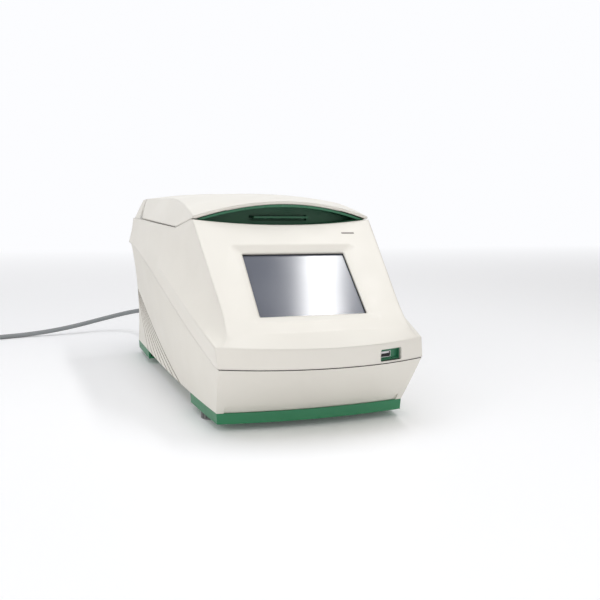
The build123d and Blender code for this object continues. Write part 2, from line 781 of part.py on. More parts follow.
with BuildPart() as block_collar:
    with BuildSketch(Plane.XY.offset(deck_bottom_z - 5)):
        with Locations((0, block_y)):
            Rectangle(block_width + 2 * collar_wall + 2 - 2 * fit_gap, block_length + 2 * collar_wall + 2 - 2 * fit_gap)
    extrude(amount=deck_thickness + 5)
    with BuildSketch(Plane.XY.offset(deck_z)):
        with Locations((0, block_y)):
            RectangleRounded(block_width + 2 * collar_wall + 2 * collar_flange,
                             block_length + 2 * collar_wall + 2 * collar_flange, 5)
    extrude(amount=collar_lip)
    with BuildSketch(Plane.XY.offset(deck_bottom_z - 5)):
        with Locations((0, block_y)):
            Rectangle(block_width + 2 * collar_gap, block_length + 2 * collar_gap)
    extrude(amount=deck_thickness + 5 + collar_lip, mode=Mode.SUBTRACT)
block_collar.part.label = "block_collar"
export_step(block_collar.part, "parts/block_collar.step")

# Sample block: pointed wells in a metal block on a flange.
with BuildPart() as well:
    with BuildSketch(Plane.XY) as mouth:
        RegularPolygon(well_radius, 8)
    loft([mouth.sketch, Vertex(0, 0, -well_depth)], ruled=True)

with BuildPart() as sample_block:
    with BuildSketch(Plane.XY.offset(block_base_z)):
        with Locations((0, block_y)):
            Rectangle(block_width + 2 * block_flange, block_length + 2 * block_flange)
    extrude(amount=flange_thickness)
    with BuildSketch(Plane.XY.offset(block_base_z + flange_thickness)):
        with Locations((0, block_y)):
            Rectangle(block_width, block_length)
    extrude(amount=block_top_z - block_base_z - flange_thickness)
    with Locations((0, block_y, block_top_z)):
        with GridLocations(well_pitch, well_pitch, well_columns, well_rows):
            add(well.part, mode=Mode.SUBTRACT)
sample_block.part.label = "sample_block"
export_step(sample_block.part, "parts/sample_block.step")

# Thermoelectric modules, heat sink and its pillars.
module_size = 35.0
module_pitch = 37.5
module_thickness = 3.8
sink_top_z = block_base_z - module_thickness
sink_base = 10.0
sink_width = 156.0
sink_length = 112.0
fin_count = 25
fin_pitch = 5.0
fin_thickness = 1.5
fin_height = 44.0
pillar_radius = 4.0
pillar_spots = [(x, block_y + y) for x in (6 - sink_width / 2, sink_width / 2 - 6) for y in (-50, 50)]
chassis_top_z = chassis_z + chassis_thickness

with BuildPart() as peltier_modules:
    with BuildSketch(Plane.XY.offset(sink_top_z)):
        with Locations((0, block_y)):
            with GridLocations(module_pitch, module_pitch, 3, 2):
                Rectangle(module_size, module_size)
    extrude(amount=module_thickness)
peltier_modules.part.label = "peltier_modules"
export_step(peltier_modules.part, "parts/peltier_modules.step")

with BuildPart() as heat_sink:
    with BuildSketch(Plane.XY.offset(sink_top_z - sink_base)):
        with Locations((0, block_y)):
            Rectangle(sink_width, sink_length)
    extrude(amount=sink_base)
    with BuildSketch(Plane.XY.offset(sink_top_z - sink_base)):
        with Locations((0, block_y)):
            with GridLocations(fin_pitch, 0, fin_count, 1):
                Rectangle(fin_thickness, sink_length)
    extrude(amount=-fin_height)
heat_sink.part.label = "heat_sink"
export_step(heat_sink.part, "parts/heat_sink.step")

with BuildPart() as sink_pillars:
    with BuildSketch(Plane.XY.offset(chassis_top_z)):
        with Locations(*pillar_spots):
            RegularPolygon(pillar_radius, 6)
    extrude(amount=sink_top_z - sink_base - chassis_top_z)
sink_pillars.part.label = "sink_pillars"
export_step(sink_pillars.part, "parts/sink_pillars.step")

# Chassis plate and what stands on it.
chassis_front = 70.0
chassis_rear = body_depth - 10

with BuildPart() as chassis_plate:
    with BuildSketch(Plane.XY.offset(chassis_z)):
        with Locations((0, behind_front((chassis_front + chassis_rear) / 2))):
            RectangleRounded(2 * chassis_half, chassis_rear - chassis_front, 6)
        with Locations((0, block_y)):
            SlotOverall(110, 40, mode=Mode.SUBTRACT)
    extrude(amount=chassis_thickness)
chassis_plate.part.label = "chassis_plate"
export_step(chassis_plate.part, "parts/chassis_plate.step")

supply_front = block_depth + sink_length / 2 + 16
supply_rear = body_depth - 36
supply_height = 38.0
supply_x = 50.0
supply_width = 88.0

with BuildPart() as power_supply:
    with BuildSketch(Plane.XY.offset(chassis_top_z)):
        with Locations((supply_x, behind_front((supply_front + supply_rear) / 2))):
            Rectangle(supply_width, supply_rear - supply_front)
    extrude(amount=supply_height)
    with BuildSketch(Plane.XY.offset(chassis_top_z + supply_height)):
        with Locations((supply_x, behind_front((supply_front + supply_rear) / 2))):
            with GridLocations(10, 0, 7, 1):
                Rectangle(3.5, supply_rear - supply_front - 40)
    extrude(amount=-1.2, mode=Mode.SUBTRACT)
power_supply.part.label = "power_supply"
export_step(power_supply.part, "parts/power_supply.step")

board_front = 78.0
board_rear = 192.0
board_x = 50.0
board_width = 86.0
board_lift = 8.0
board_thickness = 1.6
board_z = chassis_top_z + board_lift
board_top_z = board_z + board_thickness
board_y = behind_front((board_front + board_rear) / 2)

with BuildPart() as main_board:
    with BuildSketch(Plane.XY.offset(board_z)):
        with Locations((-board_x, board_y)):
            Rectangle(board_width, board_rear - board_front)
    extrude(amount=board_thickness)
    with BuildSketch(Plane.XY.offset(chassis_top_z)):
        with Locations((-board_x, board_y)):
            with GridLocations(board_width - 10, board_rear - board_front - 10, 2, 2):
                RegularPolygon(3, 6)
    extrude(amount=board_lift)
    with BuildSketch(Plane.XY.offset(board_top_z)):
        with Locations((-board_x - 16, board_y)):
            with GridLocations(0, 34, 1, 3):
                Rectangle(24, 24)
        with Locations((-board_x + 30, board_y)):
            Rectangle(10, 80)
    extrude(amount=3)
    with BuildSketch(Plane.XY.offset(board_top_z)):
        with Locations((-board_x + 12, board_y)):
            with GridLocations(0, 18, 1, 5):
                RegularPolygon(5.5, 8)
    extrude(amount=16)
main_board.part.label = "main_board"
export_step(main_board.part, "parts/main_board.step")

with BuildPart() as driver_board:
    with BuildSketch(Plane.XY.offset(board_z)):
        with Locations((board_x, board_y)):
            Rectangle(board_width, board_rear - board_front)
    extrude(amount=board_thickness)
    with BuildSketch(Plane.XY.offset(chassis_top_z)):
        with Locations((board_x, board_y)):
            with GridLocations(board_width - 10, board_rear - board_front - 10, 2, 2):
                RegularPolygon(3, 6)
    extrude(amount=board_lift)
    with BuildSketch(Plane.XY.offset(board_top_z)):
        with Locations((board_x - 16, board_y)):
            with GridLocations(0, 20, 1, 5):
                Rectangle(16, 12)
        with Locations((board_x + 18, board_y)):
            Rectangle(24, 88)
    extrude(amount=10)
    with BuildSketch(Plane.XY.offset(board_top_z + 10)):
        with Locations((board_x + 18, board_y)):
            with GridLocations(5.5, 0, 5, 1):
                Rectangle(1.8, 88)
    extrude(amount=14)
driver_board.part.label = "driver_board"
export_step(driver_board.part, "parts/driver_board.step")

# Rear panel, the two fans on it and their duct.
rear_sheet = 1.5
panel_depth = body_depth - case_wall - fit_gap - rear_sheet
fan_x = 42.0
fan_z = 110.0
fan_size = 76.0
fan_thickness = 25.0
fan_front = panel_depth - fan_thickness
bore_radius = 35.0
blade_gap = 1.2
hub_radius = 14.0
stud_radius = 3.0
motor_seat = 4.0
hub_gap = 1.0
blade_count = 7
blade_thickness = 1.5
blade_rake = 38.0
duct_wall = 1.5


def fan_plane(side, behind):
    """Across a fan's shaft, this far behind the front of its frame."""
    return Plane(origin=(side * fan_x, behind_front(fan_front + behind), fan_z), x_dir=(-1, 0, 0), z_dir=(0, 1, 0))


def fan_frame(side):
    """A square frame with a round bore, four struts, a motor seat and its stud."""
    with BuildPart() as frame:
        with BuildSketch(fan_plane(side, 0)):
            RectangleRounded(fan_size, fan_size, 4)
            Circle(bore_radius, mode=Mode.SUBTRACT)
        extrude(amount=fan_thickness)
        with BuildSketch(fan_plane(side, fan_thickness - motor_seat)):
            Circle(hub_radius)
            with PolarLocations((bore_radius + hub_radius) / 2, 4, start_angle=20):
                Rectangle(bore_radius - hub_radius + 3, 3)
        extrude(amount=motor_seat)
        with BuildSketch(fan_plane(side, 6)):
            Circle(stud_radius)
        extrude(amount=fan_thickness - motor_seat - 6)
    return frame.part


def impeller(side):
    """A cupped hub and its raked blades, running on the frame's stud."""
    length = fan_thickness - motor_seat - hub_gap - 3
    with BuildPart() as rotor:
        with Locations(fan_plane(side, 3 + length / 2)):
            with PolarLocations(0, blade_count):
                Box(bore_radius, blade_thickness, length + 3, rotation=(blade_rake, 0, 0),
                    align=(Align.MIN, Align.CENTER, Align.CENTER))
        with BuildSketch(fan_plane(side, 3)):
            Circle(bore_radius - blade_gap)
        extrude(amount=length, mode=Mode.INTERSECT)
        with BuildSketch(fan_plane(side, 3)):
            Circle(hub_radius)
        extrude(amount=length)
        with BuildSketch(fan_plane(side, 5)):
            Circle(stud_radius + running_gap)
        extrude(amount=length, mode=Mode.SUBTRACT)
    return rotor.part


fan_frame_left = fan_frame(-1)
fan_frame_left.label = "fan_frame_left"
export_step(fan_frame_left, "parts/fan_frame_left.step")
fan_frame_right = fan_frame(1)
fan_frame_right.label = "fan_frame_right"
export_step(fan_frame_right, "parts/fan_frame_right.step")
impeller_left = impeller(-1)
impeller_left.label = "impeller_left"
export_step(impeller_left, "parts/impeller_left.step")
impeller_right = impeller(1)
impeller_right.label = "impeller_right"
export_step(impeller_right, "parts/impeller_right.step")

duct_front = block_depth + sink_length / 2 + fit_gap
mouth_z = sink_top_z - sink_base - fin_height / 2 + 2


def duct_core(inset, extra):
    """The duct from the fins to the fans: its side view and its plan, crossed."""
    front, rear = behind_front(duct_front - extra), behind_front(fan_front + extra)
    mouth_half, outlet_half = fin_count * fin_pitch / 2 + 3.5 - inset, fan_x + fan_size / 2 - inset
    mouth_rise, outlet_rise = fin_height / 2 + 4 - inset, fan_size / 2 - inset
    with BuildPart() as core:
        with BuildSketch(Plane.YZ):
            with BuildLine():
                Polyline((front, mouth_z - mouth_rise), (rear, fan_z - outlet_rise), (rear, fan_z + outlet_rise),
                         (front, mouth_z + mouth_rise), close=True)
            make_face()
        extrude(amount=outlet_half, both=True)
        with BuildSketch(Plane.XY):
            with BuildLine():
                Polyline((-mouth_half, front), (mouth_half, front), (outlet_half, rear), (-outlet_half, rear), close=True)
            make_face()
        extrude(amount=crown_height, mode=Mode.INTERSECT)
    return core.part


with BuildPart() as air_duct:
    add(duct_core(0, 0))
    add(duct_core(duct_wall, 0.5), mode=Mode.SUBTRACT)
air_duct.part.label = "air_duct"
export_step(air_duct.part, "parts/air_duct.step")

# Mains inlet module: flange, socket, fuse drawer and rocker switch.
module_left = -92.0
module_right = -20.0
module_height = 34.0
module_body = 26.0
module_flange = 2.0
recess_reach = 20.0
inlet_x = -72.0
inlet_z = 49.0
inlet_width = 24.6
inlet_height = 16.8
pin_length = 15.0
pin_spots = ((-7, -2), (0, 2), (7, -2))
fuse_x = -47.0
fuse_width = 10.0
fuse_height = 22.0
switch_x = -31.0
rocker_width = 12.0
rocker_height = 20.0

rear_plane = Plane(origin=(0, behind_front(panel_depth), 0), x_dir=(-1, 0, 0), z_dir=(0, 1, 0))
flange_plane = rear_plane.offset(rear_sheet + module_flange)

with BuildPart() as rear_panel:
    with BuildSketch(rear_plane):
        with Locations((0, (rear_opening_low + rear_opening_high) / 2)):
            RectangleRounded(2 * (rear_opening_half + panel_overlap),
                             rear_opening_high - rear_opening_low + 8, 4)
        with Locations((-(module_left + module_right) / 2, inlet_z)):
            Rectangle(module_right - module_left - 4, module_height - 4, mode=Mode.SUBTRACT)
        for side in (-1, 1):
            with Locations((side * fan_x, fan_z)):
                with GridLocations(0, 8.0, 1, 8):
                    Rectangle(60, 4.2, mode=Mode.SUBTRACT)
        with Locations(*panel_screw_spots):
            Circle(screw_radius + running_gap, mode=Mode.SUBTRACT)
    extrude(amount=rear_sheet)
rear_panel.part.label = "rear_panel"
export_step(rear_panel.part, "parts/rear_panel.step")

with BuildPart() as inlet_module:
    with BuildSketch(rear_plane.offset(rear_sheet)):
        with Locations((-(module_left + module_right) / 2, inlet_z)):
            RectangleRounded(module_right - module_left, module_height, 2)
    extrude(amount=module_flange)
    with BuildSketch(rear_plane.offset(rear_sheet)):
        with Locations((-(module_left + module_right) / 2, inlet_z)):
            Rectangle(module_right - module_left - 4 - 2 * fit_gap, module_height - 4 - 2 * fit_gap)
    extrude(amount=-module_body)
    with BuildSketch(flange_plane):
        with Locations((-inlet_x, inlet_z)):
            RectangleRounded(inlet_width, inlet_height, 2)
        with Locations((-fuse_x, inlet_z)):
            Rectangle(fuse_width + 2 * fit_gap, fuse_height + 2 * fit_gap)
        with Locations((-switch_x, inlet_z)):
            Rectangle(rocker_width + 2 * fit_gap, rocker_height + 2 * fit_gap)
    extrude(amount=-recess_reach, mode=Mode.SUBTRACT)
inlet_module.part.label = "inlet_module"
export_step(inlet_module.part, "parts/inlet_module.step")

with BuildPart() as inlet_pins:
    with BuildSketch(flange_plane.offset(-recess_reach)):
        with Locations((-inlet_x, inlet_z)):
            with Locations(*pin_spots):
                Rectangle(2, 4)
    extrude(amount=pin_length)
inlet_pins.part.label = "inlet_pins"
export_step(inlet_pins.part, "parts/inlet_pins.step")

with BuildPart() as fuse_drawer:
    with BuildSketch(flange_plane.offset(fit_gap)):
        with Locations((-fuse_x, inlet_z)):
            Rectangle(fuse_width, fuse_height)
    extrude(amount=-recess_reach)
    with BuildSketch(flange_plane.offset(fit_gap)):
        with Locations((-fuse_x, inlet_z)):
            RectangleRounded(fuse_width + 2.4, fuse_height + 2.4, 1)
    extrude(amount=1.6)
    with BuildSketch(flange_plane.offset(fit_gap + 1.6)):
        with Locations((-fuse_x, inlet_z - 7)):
            Rectangle(6, 2.4)
    extrude(amount=1.6)
fuse_drawer.part.label = "fuse_drawer"
export_step(fuse_drawer.part, "parts/fuse_drawer.step")

# The rocker is drawn switched off: its lower end stands out.
rocker_turn = 9.0
rocker_axis_depth = panel_depth + rear_sheet + module_flange - 5.0
rocker_plane = Plane(origin=(switch_x, behind_front(rocker_axis_depth), inlet_z),
                     x_dir=(0, math.cos(math.radians(rocker_turn)), math.sin(math.radians(rocker_turn))),
                     z_dir=(1, 0, 0))
with BuildPart() as power_rocker:
    with BuildSketch(rocker_plane):
        with BuildLine():
            Polyline((-6, -7), (-6, 7), (6.5, rocker_height / 2 - 1.4), (4.8, 0), (6.5, 1.4 - rocker_height / 2),
                     (-6, -7))
        make_face()
    extrude(amount=rocker_width / 2, both=True)
power_rocker.part.label = "power_rocker"
export_step(power_rocker.part, "parts/power_rocker.step")

# Latch strikes: a pin between two cheeks under each slot of the deck.
strike_radius = 1.5
strike_depth = latch_depth + 7.5
strike_drop = 2.5
cheek_thickness = 2.0
cheek_inner = hook_thickness / 2 + slot_side

with BuildPart() as latch_strikes:
    with BuildSketch(Plane.XY.offset(deck_bottom_z)):
        with Locations(*[(side * (hook_x + edge * (cheek_inner + cheek_thickness / 2)), behind_front(strike_depth + 1))
                         for side in (-1, 1) for edge in (-1, 1)]):
            Rectangle(cheek_thickness, 9)
    extrude(amount=-strike_drop - 4)
    for side in (-1, 1):
        with BuildSketch(Plane.YZ.offset(side * hook_x)):
            with Locations((behind_front(strike_depth), deck_bottom_z - strike_drop)):
                Circle(strike_radius)
        extrude(amount=cheek_inner + cheek_thickness / 2, both=True)
latch_strikes.part.label = "latch_strikes"
export_step(latch_strikes.part, "parts/latch_strikes.step")

# Hinges: two brackets on the deck, a pin through each, and the lid's leaves either side of them.
bracket_foot = 2.5
hinge_y = behind_front(hinge_depth)

with BuildPart() as hinge_brackets:
    for side in (-1, 1):
        with BuildSketch(Plane.XY.offset(deck_z)):
            with Locations((side * (hinge_x - 4), hinge_y - 5)):
                Rectangle(upright_width + 16, 24)
        extrude(amount=bracket_foot)
        with BuildSketch(Plane.YZ.offset(side * hinge_x)):
            with Locations((hinge_y, (hinge_z + deck_z) / 2)):
                Rectangle(2 * knuckle_radius, hinge_z - deck_z)
            with Locations((hinge_y, hinge_z)):
                Circle(knuckle_radius)
                Circle(pin_radius + running_gap, mode=Mode.SUBTRACT)
        extrude(amount=upright_width / 2, both=True)
hinge_brackets.part.label = "hinge_brackets"
export_step(hinge_brackets.part, "parts/hinge_brackets.step")

leaf_inner = upright_width / 2 + hinge_side_gap
leaf_outer = leaf_inner + leaf_thickness

with BuildPart() as hinge_pins:
    for side in (-1, 1):
        with BuildSketch(Plane.YZ.offset(side * hinge_x)):
            with Locations((hinge_y, hinge_z)):
                Circle(pin_radius)
        extrude(amount=leaf_outer + 0.5, both=True)
hinge_pins.part.label = "hinge_pins"
export_step(hinge_pins.part, "parts/hinge_pins.step")

liner_top_z = liner_z + liner_thickness
leaf_plate = 2.5

with BuildPart() as lid_hinge_leaves:
    with BuildSketch(Plane.XY.offset(liner_top_z)):
        with Locations((-hinge_x, behind_front(liner_rear - 16)), (hinge_x, behind_front(liner_rear - 16))):
            Rectangle(2 * leaf_outer, 30)
    extrude(amount=leaf_plate)
    for side in (-1, 1):
        for edge in (-1, 1):
            with BuildSketch(Plane.YZ.offset(side * hinge_x + edge * (leaf_inner + leaf_thickness / 2))):
                with BuildLine():
                    Polyline((behind_front(liner_rear - 31), liner_top_z), (behind_front(liner_rear - 31), liner_top_z + 2.5),
                             (hinge_y - 14, hinge_z + 1.5), (hinge_y, hinge_z + knuckle_radius),
                             (hinge_y, hinge_z - knuckle_radius), (behind_front(liner_rear), liner_top_z),
                             (behind_front(liner_rear - 31), liner_top_z))
                make_face()
                with Locations((hinge_y, hinge_z)):
                    Circle(knuckle_radius)
                    Circle(pin_radius + running_gap, mode=Mode.SUBTRACT)
            extrude(amount=leaf_thickness / 2, both=True)
lid_hinge_leaves.part.label = "lid_hinge_leaves"
export_step(lid_hinge_leaves.part, "parts/lid_hinge_leaves.step")

# Lid liner: the flat inner panel, with lugs for the latch shaft.
shaft_radius = 2.5
ring_radius = 5.0
lug_thickness = 4.0
lug_spots = (52.0, 80.0)

with BuildPart() as lid_liner:
    loft([lid_section(*station, lid_wall + fit_gap) for station in lid_stations])
    add(side_profile(((liner_front, liner_z), (liner_rear, liner_z), (liner_rear, liner_top_z),
                      (liner_front, liner_top_z))), mode=Mode.INTERSECT)
    for side in (-1, 1):
        for spot in lug_spots:
            with BuildSketch(Plane.YZ.offset(side * spot)):
                with Locations((latch_y, (liner_z + latch_z - ring_radius) / 2)):
                    Rectangle(8, liner_z - latch_z + ring_radius)
                with Locations((latch_y, latch_z)):
                    Circle(shaft_radius + running_gap, mode=Mode.SUBTRACT)
            extrude(amount=lug_thickness / 2, both=True)
lid_liner.part.label = "lid_liner"
export_step(lid_liner.part, "parts/lid_liner.step")

# Heated plate and what carries it: it floats on four posts under springs.
plate_bottom_z = deck_z + 4
plate_thickness = 6.0
heater_thickness = 1.0
insulation_thickness = 4.8
frame_thickness = 1.2
post_radius = 3.0
post_head_radius = 5.0
post_head = 2.8
post_x = 66.0
post_y = 28.0
post_gap = 0.4
plate_width = block_width + 3
plate_length = block_length + 3
heater_z = plate_bottom_z + plate_thickness
insulation_z = heater_z + heater_thickness
platen_frame_z = insulation_z + insulation_thickness
post_spots = [(x, block_y + y) for x in (-post_x, post_x) for y in (-post_y, post_y)]
spring_base_z = platen_frame_z + frame_thickness

with BuildPart() as heated_plate:
    with BuildSketch(Plane.XY.offset(plate_bottom_z)):
        with Locations((0, block_y)):
            RectangleRounded(plate_width, plate_length, 3)
    extrude(amount=plate_thickness)
heated_plate.part.label = "heated_plate"
export_step(heated_plate.part, "parts/heated_plate.step")

with BuildPart() as heater_mat:
    with BuildSketch(Plane.XY.offset(heater_z)):
        with Locations((0, block_y)):
            Rectangle(plate_width - 6, plate_length - 6)
    extrude(amount=heater_thickness)
heater_mat.part.label = "heater_mat"
export_step(heater_mat.part, "parts/heater_mat.step")

with BuildPart() as platen_insulation:
    with BuildSketch(Plane.XY.offset(insulation_z)):
        with Locations((0, block_y)):
            Rectangle(plate_width - 2, plate_length)
    extrude(amount=insulation_thickness)
platen_insulation.part.label = "platen_insulation"
export_step(platen_insulation.part, "parts/platen_insulation.step")

with BuildPart() as platen_frame:
    with BuildSketch(Plane.XY.offset(platen_frame_z)):
        with Locations((0, block_y)):
            RectangleRounded(2 * post_x + 14, plate_length, 4)
            Rectangle(plate_width - 34, plate_length - 24, mode=Mode.SUBTRACT)
        with Locations(*post_spots):
            Circle(post_radius + running_gap, mode=Mode.SUBTRACT)
    extrude(amount=frame_thickness)
platen_frame.part.label = "platen_frame"
export_step(platen_frame.part, "parts/platen_frame.step")

with BuildPart() as guide_posts:
    with BuildSketch(Plane.XY.offset(platen_frame_z - post_gap - post_head)):
        with Locations(*post_spots):
            RegularPolygon(post_head_radius, 6)
    extrude(amount=post_head)
    with BuildSketch(Plane.XY.offset(platen_frame_z - post_gap)):
        with Locations(*post_spots):
            Circle(post_radius)
    extrude(amount=liner_z - platen_frame_z + post_gap)
guide_posts.part.label = "guide_posts"
export_step(guide_posts.part, "parts/guide_posts.step")

with BuildPart() as platen_springs:
    with BuildSketch(Plane.XY.offset(spring_base_z)):
        for spot in post_spots:
            with Locations(spot):
                RegularPolygon(post_head_radius, 12)
                RegularPolygon(post_radius + 0.6, 12, mode=Mode.SUBTRACT)
    extrude(amount=liner_z - spring_base_z)
platen_springs.part.label = "platen_springs"
export_step(platen_springs.part, "parts/platen_springs.step")

# Lid handle: the green cup under the brow, with a rolled lip.
cup_front = lid_front + 2.0
cup_rear = lid_front + 29
cup_back = 2.5
cup_floor = 2.5
cup_lip = 3.0
cup_bottom_z = lid_corner_z - 9
cup_corner_x = lid_stations[1][1] - 2
cup_edge_x = cup_corner_x - 3
cup_corner_z = lid_corner_z - 2
paddle_half = 32.0
paddle_front = lid_front + 14
paddle_z = latch_z + 3
paddle_thickness = 2.2

with BuildPart() as lid_handle:
    with BuildSketch(cross_plane(cup_front)):
        with BuildLine():
            left, right = (-cup_corner_x, lid_corner_z - 1), (cup_corner_x, lid_corner_z - 1)
            low_left, low_right = (-cup_edge_x, cup_corner_z), (cup_edge_x, cup_corner_z)
            ThreePointArc(left, (0, lid_corner_z + brow_rise - fit_gap), right)
            Line(right, low_right)
            ThreePointArc(low_right, (0, cup_bottom_z), low_left)
            Line(low_left, left)
        make_face()
    extrude(amount=-(cup_rear - cup_front))
    add(bowed_block(cup_front, lid_front_bow, cup_bottom_z - 10, crown_height, cup_rear + 20), mode=Mode.INTERSECT)
    add(side_profile(((cup_front - 5, cup_bottom_z - 10), (lid_corner + 2.5, cup_bottom_z - 10),
                      (lid_corner + 2.5, lid_corner_z - 0.5), (cup_front, lid_corner_z + 1.5),
                      (cup_front - 5, lid_corner_z + 1.5))), mode=Mode.SUBTRACT)
    with BuildSketch(cross_plane(cup_front - 1)):
        with BuildLine():
            hollow_half = cup_corner_x - 3 * cup_lip - 1
            left, right = (-hollow_half, lid_corner_z), (hollow_half, lid_corner_z)
            ThreePointArc(left, (0, lid_corner_z + brow_rise - fit_gap - cup_lip), right)
            ThreePointArc(right, (0, cup_bottom_z + cup_floor), left)
        make_face()
    extrude(amount=-(cup_rear - cup_back - cup_front + 1), mode=Mode.SUBTRACT)
    with BuildSketch(cross_plane(cup_rear + 1)):
        with Locations((0, paddle_z + 0.2)):
            Rectangle(2 * paddle_half + 4, 6.2)
    extrude(amount=cup_back + 2, mode=Mode.SUBTRACT)
lid_handle.part.label = "lid_handle"
export_step(lid_handle.part, "parts/lid_handle.step")

# Latch: the paddle in the cup, its shaft and two hooks, drawn released.
with BuildPart() as latch_lever:
    with BuildSketch(Plane.YZ) as lever_side:
        with BuildLine():
            Polyline((behind_front(paddle_front), paddle_z), (behind_front(paddle_front), paddle_z + paddle_thickness),
                     (latch_y, paddle_z + paddle_thickness - 0.2), (latch_y, latch_z), (latch_y - 4, latch_z),
                     (latch_y - 4.5, paddle_z), (behind_front(paddle_front), paddle_z))
        make_face()
        with Locations((latch_y, latch_z)):
            Circle(ring_radius)
            Circle(shaft_radius + running_gap, mode=Mode.SUBTRACT)
    extrude(amount=paddle_half, both=True)
latch_lever.part.label = "latch_lever"
export_step(latch_lever.part, "parts/latch_lever.step")

with BuildPart() as latch_shaft:
    with BuildSketch(Plane.YZ):
        with Locations((latch_y, latch_z)):
            Circle(shaft_radius)
    extrude(amount=lug_spots[1] + lug_thickness / 2 + 1, both=True)
latch_shaft.part.label = "latch_shaft"
export_step(latch_shaft.part, "parts/latch_shaft.step")

hook_length = latch_z - deck_bottom_z + strike_drop + 6.0
nose_drop = latch_z - deck_bottom_z + strike_drop + strike_radius + 1.5

with BuildPart() as latch_hooks:
    for side in (-1, 1):
        with BuildSketch(Plane.YZ.offset(side * hook_x)):
            with BuildLine():
                Polyline((latch_y - 5, latch_z), (latch_y - 5, latch_z - hook_length),
                         (latch_y + 2.5, latch_z - hook_length), (latch_y + 2.5, latch_z - nose_drop),
                         (latch_y - 0.5, latch_z - nose_drop), (latch_y - 0.5, latch_z - 4), (latch_y, latch_z - 4),
                         (latch_y, latch_z), (latch_y - 5, latch_z))
            make_face()
            with Locations((latch_y, latch_z)):
                Circle(ring_radius)
                Circle(shaft_radius + running_gap, mode=Mode.SUBTRACT)
        extrude(amount=hook_thickness / 2, both=True)
latch_hooks.part.label = "latch_hooks"
export_step(latch_hooks.part, "parts/latch_hooks.step")

# Screws: under the base tray, and round the rear panel.
head_radius = 3.0
head_height = 1.4

with BuildPart() as case_screws:
    with BuildSketch(Plane.XY.offset(tray_bottom_z)):
        with Locations(*base_screw_spots):
            RegularPolygon(head_radius, 12)
    extrude(amount=-head_height)
    with BuildSketch(Plane.XY.offset(tray_bottom_z)):
        with Locations(*base_screw_spots):
            RegularPolygon(screw_radius, 8)
    extrude(amount=case_floor_z + case_wall - tray_bottom_z + 2)
case_screws.part.label = "case_screws"
export_step(case_screws.part, "parts/case_screws.step")

with BuildPart() as panel_screws:
    with BuildSketch(cross_plane(body_depth)):
        with Locations(*panel_screw_spots):
            RegularPolygon(head_radius, 12)
    extrude(amount=-head_height)
    with BuildSketch(cross_plane(panel_depth - 2)):
        with Locations(*panel_screw_spots):
            RegularPolygon(screw_radius, 8)
    extrude(amount=-(body_depth - panel_depth + 2))
panel_screws.part.label = "panel_screws"
export_step(panel_screws.part, "parts/panel_screws.step")

# Mains lead: connector in the inlet, strain relief, the lead, its coil, and the plug with its own relief.
connector_width = 27.0
connector_height = 19.0
connector_length = 24.0
nose_length = 18.0
lead_radius = 3.5
relief_length = 26.0
relief_radius = 7.0
coil_radius = 36.5
coil_pitch = 2 * lead_radius + 0.2
coil_layers = 2
lead_start = panel_depth + rear_sheet + module_flange + fit_gap + connector_length + relief_length
lead_y = behind_front(lead_start)

with BuildPart() as lead_connector:
    with BuildSketch(flange_plane.offset(fit_gap)):
        with Locations((-inlet_x, inlet_z)):
            RectangleRounded(connector_width, connector_height, 4)
    extrude(amount=connector_length)
    with BuildSketch(flange_plane.offset(fit_gap)):
        with Locations((-inlet_x, inlet_z)):
            RectangleRounded(inlet_width - 2 * fit_gap, inlet_height - 2 * fit_gap, 1.7)
    extrude(amount=-nose_length)
    with BuildSketch(flange_plane.offset(fit_gap - nose_length)):
        with Locations((-inlet_x, inlet_z)):
            with Locations(*pin_spots):
                Rectangle(2.4, 4.4)
    extrude(amount=pin_length, mode=Mode.SUBTRACT)
lead_connector.part.label = "lead_connector"
export_step(lead_connector.part, "parts/lead_connector.step")

with BuildPart() as lead_relief:
    with Locations(Plane(origin=(inlet_x, lead_y - relief_length, inlet_z), z_dir=(0, 1, 0))):
        Cone(relief_radius, lead_radius + 1.0, relief_length, align=(Align.CENTER, Align.CENTER, Align.MIN))
lead_relief.part.label = "lead_relief"
export_step(lead_relief.part, "parts/lead_relief.step")

lead_rest = lead_radius + 0.1
lead_route = [
    (inlet_x, lead_y, inlet_z), (inlet_x, lead_y + 31, inlet_z), (-73, lead_y + 67, 45.0),
    (-81, lead_y + 103, 39.0), (-106, lead_y + 130, 31.0), (-143, lead_y + 138, 21.5),
    (-186, lead_y + 127, 13.5), (-227, lead_y + 119, 7.6), (-267, lead_y + 117, lead_rest),
    (-305, lead_y + 106, lead_rest), (-342, lead_y + 96, lead_rest), (-378, lead_y + 91, lead_rest),
]


def corner_radii(points):
    """The largest arc that the two runs at each corner allow, kept to 0.45 of the shorter run."""
    radii = []
    for before, here, after in zip(points, points[1:], points[2:]):
        run_in, run_out = Vector(*here) - Vector(*before), Vector(*after) - Vector(*here)
        turn = math.radians(run_in.get_angle(run_out))
        radii.append(0.45 * min(run_in.length, run_out.length) / math.tan(turn / 2))
    return radii


lead_radii = corner_radii(lead_route)
print("lead radii", [round(radius) for radius in lead_radii])

with BuildPart() as mains_lead:
    with BuildLine() as lead_path:
        FilletPolyline(*lead_route, radius=lead_radii)
    with BuildSketch(Plane(origin=lead_route[0], z_dir=lead_path.line % 0)):
        Circle(lead_radius)
    sweep()
mains_lead.part.label = "mains_lead"
export_step(mains_lead.part, "parts/mains_lead.step")
print("lead volume", mains_lead.part.volume, math.pi * lead_radius ** 2 * lead_path.wire().length)

lead_end, lead_before = Vector(*lead_route[-1]), Vector(*lead_route[-2])
heading = (lead_end - lead_before).normalized()
coil_centre = lead_end + Vector(-heading.Y, heading.X, 0) * -(coil_radius + coil_pitch)
coil_half = coil_pitch + lead_radius + 0.2

